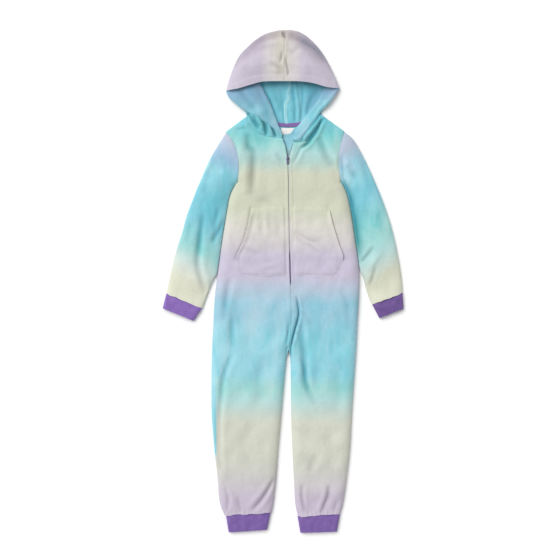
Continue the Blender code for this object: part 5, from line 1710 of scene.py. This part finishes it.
@cache
def plush_crown():
    """The hood's outside: lilac plush with a cream bloom over the crown, its top darker (grey-mauve
    dye and painted shade), and aqua at the neck.
    """
    made, tree, shader, place = new_material("plush_fleece_hood", dyes().lilac, 0.95, **FLEECE)
    bleed = add_node(tree, "TexNoise", place, Scale=1 / 45, Distortion=0.8, **MOTTLE)
    offset = add_node(tree, "VectorMath", place, BLOOM_AT, operation="SUBTRACT")
    scaled = add_node(tree, "VectorMath", offset, (1 / BLOOM_WIDE, 1 / BLOOM_LONG, 0),
                      operation="MULTIPLY")
    far = add_node(tree, "VectorMath", scaled, operation="LENGTH")
    crown = add_node(tree, "ValToRGB", varied(tree, bleed, 0.35, far), ease="EASE", stops=(
        (0.0, dyes().bloom), (0.16, dyes().bloom), (0.5, dyes().haze), (0.95, dyes().heather)))
    x, y, _ = add_node(tree, "SeparateXYZ", place).node.outputs
    # painted shade, with some grey-mauve dye: the crown's top darker, where it slopes away from the
    # light
    slant = add_node(tree, "Math", beside(tree, x, -8.0), 0.66, y, operation="MULTIPLY_ADD")
    crown = tinted(tree, add_node(tree, "MapRange", slant, 622.0, 644.0), crown, CROWN_TOP_SHADE_TINT)
    mottle = add_node(tree, "TexNoise", place, Scale=1 / 24, Distortion=0.5, **MOTTLE)
    teal = add_node(tree, "ValToRGB", mottle, stops=((0.3, dyes().aqua), (0.7, dyes().sea)))
    neck = add_node(tree, "MapRange", y, *NECK_AQUA)
    piled(tree, shader, place, add_node(tree, "Mix", neck, crown, teal, data_type="RGBA"))
    return made


@cache
def plush_lining():
    """The hood's inside, the same plush dyed aqua: bluer up the lapels, darker under the crown as
    painted shade.
    """
    made, tree, shader, place = new_material("plush_fleece_hood_inside", dyes().lagoon, 0.95,
                                             **{**FLEECE, "Sheen_Weight": 0.3})
    x, y, _ = add_node(tree, "SeparateXYZ", place).node.outputs
    bleed = add_node(tree, "TexNoise", place, Scale=1 / 40, Distortion=0.8, **MOTTLE)
    wander = varied(tree, bleed, 60.0, beside(tree, x, -6.0))
    share = add_node(tree, "MapRange", wander, 20.0, 120.0)
    colour = add_node(tree, "ValToRGB", share, stops=(
        (0.0, dyes().aqua), (0.35, dyes().aqua), (0.75, dyes().azure)))
    # painted shade: darker towards the face's rim, under the crown's overhang
    deep = add_node(tree, "ValToRGB", bleed, stops=((0.3, dyes().deep), (0.8, dyes().aqua)))
    shade = add_node(tree, "MapRange", y, 455.0, 515.0, 0.0, 0.85)
    colour = add_node(tree, "Mix", shade, colour, deep, data_type="RGBA")
    cord = add_node(tree, "Attribute", attribute_name="cord", out="Fac")
    piled(tree, shader, place, tinted(tree, cord, colour, CORD_TINT))
    return made


@cache
def rib_knit(lit_as, shade):
    """Cotton rib knit, reactive-dyed purple: matt yarn loops in columns, dark between the ribs;
    shade scales the colour as painted light and shade.
    """
    made, tree, shader, place = new_material(
        f"cotton_rib_knit_{lit_as}", "7B60A2", 0.88, Sheen_Weight=0.2, Sheen_Roughness=0.5,
        Specular_IOR_Level=0.2)
    loops = add_node(tree, "TexNoise", place, Scale=1 / 1.4, Roughness=0.6)
    worn = add_node(tree, "TexNoise", place, Scale=1 / 14, **MOTTLE)
    worn = add_node(tree, "Math", loops, 0.5, worn, operation="MULTIPLY_ADD")
    colour = add_node(tree, "ValToRGB", worn, stops=(
        (0.3, "6E5495"), (0.75, "7B60A2"), (1.0, "8468A8")))
    # painted light and shade: the cuff's colour scaled paler where it faces the light, darker where
    # it faces away
    lit_colour = add_node(tree, "VectorMath", colour, shade, operation="SCALE")
    dress(tree, shader, lit_colour, loops, strength=0.5, depth=0.0006)
    return made


def weave(tree, place, pitch_mm):
    """Over-and-under of a plain weave, 0 to 1."""
    waves = []
    for axis in ("X", "Y"):
        across_yarns = add_node(tree, "SeparateXYZ", place, out=axis)
        turn = add_node(tree, "Math", across_yarns, math.tau / (2 * pitch_mm), operation="MULTIPLY")
        waves.append(add_node(tree, "Math", turn, operation="SINE"))
    product = add_node(tree, "Math", *waves, operation="MULTIPLY")
    return add_node(tree, "Math", product, 0.5, 0.5, operation="MULTIPLY_ADD")


@cache
def woven_tape():
    """Polyester twill tape, woven and piece-dyed purple: fine crossing yarns with a faint gloss."""
    made, tree, shader, place = new_material(
        "woven_polyester_tape", "8568A4", 0.7, Sheen_Weight=0.15, Sheen_Roughness=0.4,
        Specular_IOR_Level=0.3)
    over = weave(tree, place, 0.9)  # coarser than its yarns, so that it shows
    yarns = add_node(tree, "ValToRGB", over, stops=(
        (0.0, "6E5290"), (0.6, "8568A4"), (1.0, "957AB2")))
    dress(tree, shader, yarns, over, strength=0.5, depth=0.0003)
    return made


@cache
def satin_label():
    """Damask satin label, woven white and left bare: smooth floats with a soft gloss."""
    made, tree, shader, place = new_material(
        "woven_satin_label", "F1EFEC", 0.5, Sheen_Weight=0.1, Sheen_Roughness=0.4,
        Specular_IOR_Level=0.4)
    over = weave(tree, place, 0.7)  # coarser than its yarns, so that it shows
    yarns = add_node(tree, "ValToRGB", over, stops=((0.0, "E2DFDD"), (1.0, "F4F2F0")))
    dress(tree, shader, yarns, over, strength=0.3, depth=0.0002)
    return made


@cache
def nylon_coil():
    """Extruded nylon monofilament, dyed grey purple: smooth, with a small sharp highlight."""
    made, tree, shader, place = new_material("nylon_coil", "6E6488", 0.38, IOR=1.53)
    mottle = add_node(tree, "TexNoise", place, Scale=1 / 3.0)
    shades = add_node(tree, "ValToRGB", mottle, stops=((0.3, "5F567A"), (0.7, "7C7296")))
    dress(tree, shader, shades)
    return made


@cache
def enamelled_zinc():
    """Die-cast zinc under baked enamel: grey purple with a thin clear gloss, paler where rubbed."""
    made, tree, shader, place = new_material(
        "enamelled_zinc", "6A5F84", 0.36, Coat_Weight=0.4, Coat_Roughness=0.15)
    wear = add_node(tree, "TexNoise", place, Scale=1 / 2.2, Detail=4.0, Roughness=0.65)
    enamel = add_node(tree, "ValToRGB", wear, stops=(
        (0.35, "5D5276"), (0.62, "6F6388"), (0.8, "9388A6")))
    dress(tree, shader, enamel, wear, strength=0.15, depth=0.0001)
    rubbed = add_node(tree, "MapRange", wear, To_Min=0.28, To_Max=0.5)
    tree.links.new(rubbed, shader.inputs["Roughness"])
    return made


@cache
def polyester_thread():
    """Spun polyester thread, undyed off-white: two twisted plies with a silky light."""
    made, tree, shader, place = new_material(
        "polyester_thread", "E3E4DE", 0.55, Sheen_Weight=0.2, Sheen_Roughness=0.4,
        Specular_IOR_Level=0.35)
    twist = add_node(tree, "TexNoise", place, Scale=1 / 0.8, Detail=1.0)
    shades = add_node(tree, "ValToRGB", twist, stops=((0.3, "CFD2CE"), (0.7, "E9EAE5")))
    dress(tree, shader, shades)
    return made


@cache
def studio_paper():
    """White seamless paper: flat, with the faint tooth of its fibres."""
    made, tree, shader, place = new_material(
        "seamless_paper", "FEFEFE", 0.9, Specular_IOR_Level=0.1)
    tooth = add_node(tree, "TexNoise", place, Scale=1 / 1.5)
    shades = add_node(tree, "ValToRGB", tooth, stops=((0.0, "FCFCFC"), (1.0, "FFFFFF")))
    dress(tree, shader, shades)
    return made


# ============================================================ what a user can change
def size_prop(name, description, default):
    return FloatProperty(
        name=name, description=description, default=default, min=0.0, unit="LENGTH", precision=5)


class OnesieCloth(bpy.types.PropertyGroup):
    """Sizes of the cloth and its pile"""
    fleece: size_prop("Fleece", "Thickness of the plush fleece", 0.0022)
    rib_wall: size_prop("Rib", "Thickness of the doubled rib", 0.0026)
    rib_pitch: size_prop("Rib pitch", "From one rib of a cuff to the next", 0.0024)
    hem: size_prop("Hood hem", "From the hood's edge to the stitches of its hem", 0.018)
    tuft: size_prop("Tuft", "Width of the pile's tufts", 0.0016)
    clump: size_prop("Clump", "Width of the patches where the pile lies one way", 0.0060)
    # streak also sizes the painted shade and painted sheen pools of the pile
    streak: size_prop("Streak", "Width of the streaks that brushing leaves in the pile", 0.017)
    dye_bleed: size_prop("Dye bleed", "How far the edge of a dye band wanders", 0.030)


class OnesieSewing(bpy.types.PropertyGroup):
    """Sizes of the topstitching"""
    stitch_pitch: size_prop("Stitch pitch", "From one topstitch to the next", 0.0032)
    stitch_length: size_prop("Stitch length", "Length of a topstitch that shows", 0.0025)
    thread: size_prop("Thread", "Thickness of the thread", 0.0006)


class OnesieZip(bpy.types.PropertyGroup):
    """Sizes of the zip's small parts"""
    coil_pitch: size_prop("Coil pitch", "From one turn of the coil to the next", 0.0013)
    metal_round: size_prop("Rounding", "Radius of the slider's cast edges", 0.0003)


class OnesieDyes(bpy.types.PropertyGroup):
    """Dyes of the plush"""
    __annotations__ = {dye.name: FloatVectorProperty(
        name=dye.name.capitalize(), description=dye.use, subtype="COLOR", size=3, min=0.0, max=1.0,
        default=linear(dye.hex)) for dye in DYES}


class OnesieStage(bpy.types.PropertyGroup):
    """The camera, the lights and the floor"""
    lens: FloatProperty(
        name="Lens", description="Focal length of the camera in millimetres", default=70.0, min=1.0,
        unit="CAMERA")
    distance: size_prop("Distance", "From the camera to the floor", 2.831)
    key: FloatProperty(
        name="Key light", description="Key light's strength in watts a square metre", default=2.4,
        min=0.0)
    softness: FloatProperty(
        name="Softness", description="Angle that the key light fills", default=0.8, min=0.0,
        unit="ROTATION")
    fill: FloatProperty(
        name="Sky light", description="Strength of the white surround", default=0.50, min=0.0)
    floor: IntProperty(name="Floor", description="Width of the floor in metres", default=8, min=1)


# ============================================================ operators
FLOOR_Z = -0.3  # millimetres, just clear of the cloth
AIM = Vector((-0.008, 0.002, 0.0))  # metres, as the next
LAMP_AT = (-1.9, 1.7, 2.9)


class ONESIE_OT_body(bpy.types.Operator):
    """Makes the fronts and backs, each half of the torso with one leg"""
    bl_idname = "onesie.body"
    bl_label = "Fronts and backs"

    def execute(self, context):
        for side in SIDES:
            body_panel(side, "front")
            body_panel(side, "back")
        return {"FINISHED"}


class ONESIE_OT_sleeves(bpy.types.Operator):
    """Makes the two sleeves"""
    bl_idname = "onesie.sleeves"
    bl_label = "Sleeves"

    def execute(self, context):
        for side in SIDES:
            sleeve(side)
        return {"FINISHED"}


class ONESIE_OT_cuffs(bpy.types.Operator):
    """Makes the rib cuffs of wrists and ankles"""
    bl_idname = "onesie.cuffs"
    bl_label = "Rib cuffs"

    def execute(self, context):
        for name in CUFFS:
            cuff(name)
        return {"FINISHED"}


class ONESIE_OT_hood(bpy.types.Operator):
    """Makes the two halves of the hood with their lapels and gathered neck"""
    bl_idname = "onesie.hood"
    bl_label = "Hood"

    def execute(self, context):
        for side in SIDES:
            hood(side)
        return {"FINISHED"}


class ONESIE_OT_pockets(bpy.types.Operator):
    """Makes the two pockets"""
    bl_idname = "onesie.pockets"
    bl_label = "Pockets"

    def execute(self, context):
        for side in SIDES:
            pocket(side)
        return {"FINISHED"}


class ONESIE_OT_zip(bpy.types.Operator):
    """Makes the zip's tapes and coil, its slider and its pull tab"""
    bl_idname = "onesie.zip"
    bl_label = "Zip"

    def execute(self, context):
        for side in SIDES:
            zip_half(side)
        softened_metal("zip_slider", "slider_cast", "garment")
        softened_metal("zip_pull", "pull_tab_cast", "pull")
        return {"FINISHED"}


class ONESIE_OT_neck(bpy.types.Operator):
    """Makes the tape over the back neck seam and the bare label below it"""
    bl_idname = "onesie.neck"
    bl_label = "Neck tape and label"

    def execute(self, context):
        neck_tape()
        neck_label()
        return {"FINISHED"}


class ONESIE_OT_stitching(bpy.types.Operator):
    """Sews the topstitching of zip, pockets and hood hem"""
    bl_idname = "onesie.stitching"
    bl_label = "Topstitching"

    def execute(self, context):
        objects = bpy.data.objects
        for side in SIDES:
            for name, piece, lines, slot in (
                    ("zip", "front", zip_stitch_lines, "plush"),
                    ("pocket", "pocket", pocket_stitch_lines, "plush_cream"),
                    ("hood", "hood", hood_stitch_lines, "plush_lavender")):
                under = objects[f"plush_{piece}_{side}"]
                stitch_piece(f"stitches_{name}_{side}", under, lines(side), slot)
        return {"FINISHED"}


class ONESIE_OT_stage(bpy.types.Operator):
    """Sets out the white floor, the lights and the camera straight above"""
    bl_idname = "onesie.stage"
    bl_label = "Stage"

    def execute(self, context):
        scene = context.scene
        sizes = scene.onesie_stage
        half = sizes.floor / 2 / MM
        corners = [(x * half, y * half, FLOOR_Z) for x, y in ((-1, -1), (1, -1), (1, 1), (-1, 1))]
        add_mesh("floor", corners, [(0, 1, 2, 3)], [studio_paper()])
        scene.world = bpy.data.worlds.new("studio")
        scene.world.use_nodes = True
        surround = scene.world.node_tree.nodes["Background"].inputs
        surround["Color"].default_value = (1, 1, 1, 1)
        surround["Strength"].default_value = sizes.fill
        light = bpy.data.lights.new("key_light", "SUN")
        light.angle = sizes.softness
        light.energy = sizes.key
        lamp = placed("key_light", light)
        lamp.location = LAMP_AT
        lamp.rotation_euler = (AIM - lamp.location).to_track_quat("-Z", "Y").to_euler()
        camera = bpy.data.cameras.new("overhead")
        camera.lens = sizes.lens
        camera.sensor_width = 36.0
        camera.dof.use_dof = False
        scene.camera = placed("overhead", camera)
        scene.camera.location = AIM + Vector((0, 0, sizes.distance))
        scene.view_settings.view_transform = "Standard"
        return {"FINISHED"}


PIECES = (ONESIE_OT_body, ONESIE_OT_sleeves, ONESIE_OT_cuffs, ONESIE_OT_hood, ONESIE_OT_pockets,
          ONESIE_OT_zip, ONESIE_OT_neck, ONESIE_OT_stitching, ONESIE_OT_stage)
GROUPS = {"onesie_cloth": OnesieCloth, "onesie_sewing": OnesieSewing, "onesie_zip": OnesieZip,
          "onesie_dyes": OnesieDyes, "onesie_stage": OnesieStage}


class ONESIE_PT_panel(bpy.types.Panel):
    """Lists the steps that dress the onesie, and what can be changed first"""
    bl_idname = "ONESIE_PT_panel"
    bl_label = "Plush onesie"
    bl_space_type = "VIEW_3D"
    bl_region_type = "UI"
    bl_category = "Onesie"

    def draw(self, context):
        for piece in PIECES:
            self.layout.operator(piece.bl_idname)
        for name, group in GROUPS.items():
            box = self.layout.box()
            for prop in group.__annotations__:
                box.prop(getattr(context.scene, name), prop)


def register():
    for made in (*GROUPS.values(), *PIECES, ONESIE_PT_panel):
        bpy.utils.register_class(made)
    for name, group in GROUPS.items():
        setattr(bpy.types.Scene, name, PointerProperty(type=group))


def unregister():
    for name in GROUPS:
        delattr(bpy.types.Scene, name)
    for made in (ONESIE_PT_panel, *reversed(PIECES), *reversed(GROUPS.values())):
        bpy.utils.unregister_class(made)


def clear_start():
    """Takes out what a new Blender file starts with; the frame's nodes stay."""
    for name in ("Cube", "Camera", "Light"):
        if name in bpy.data.objects:
            bpy.data.objects.remove(bpy.data.objects[name])


def main():
    register()
    clear_start()
    for piece in PIECES:
        group, name = piece.bl_idname.split(".")
        getattr(getattr(bpy.ops, group), name)()


if __name__ == "__main__":
    main()
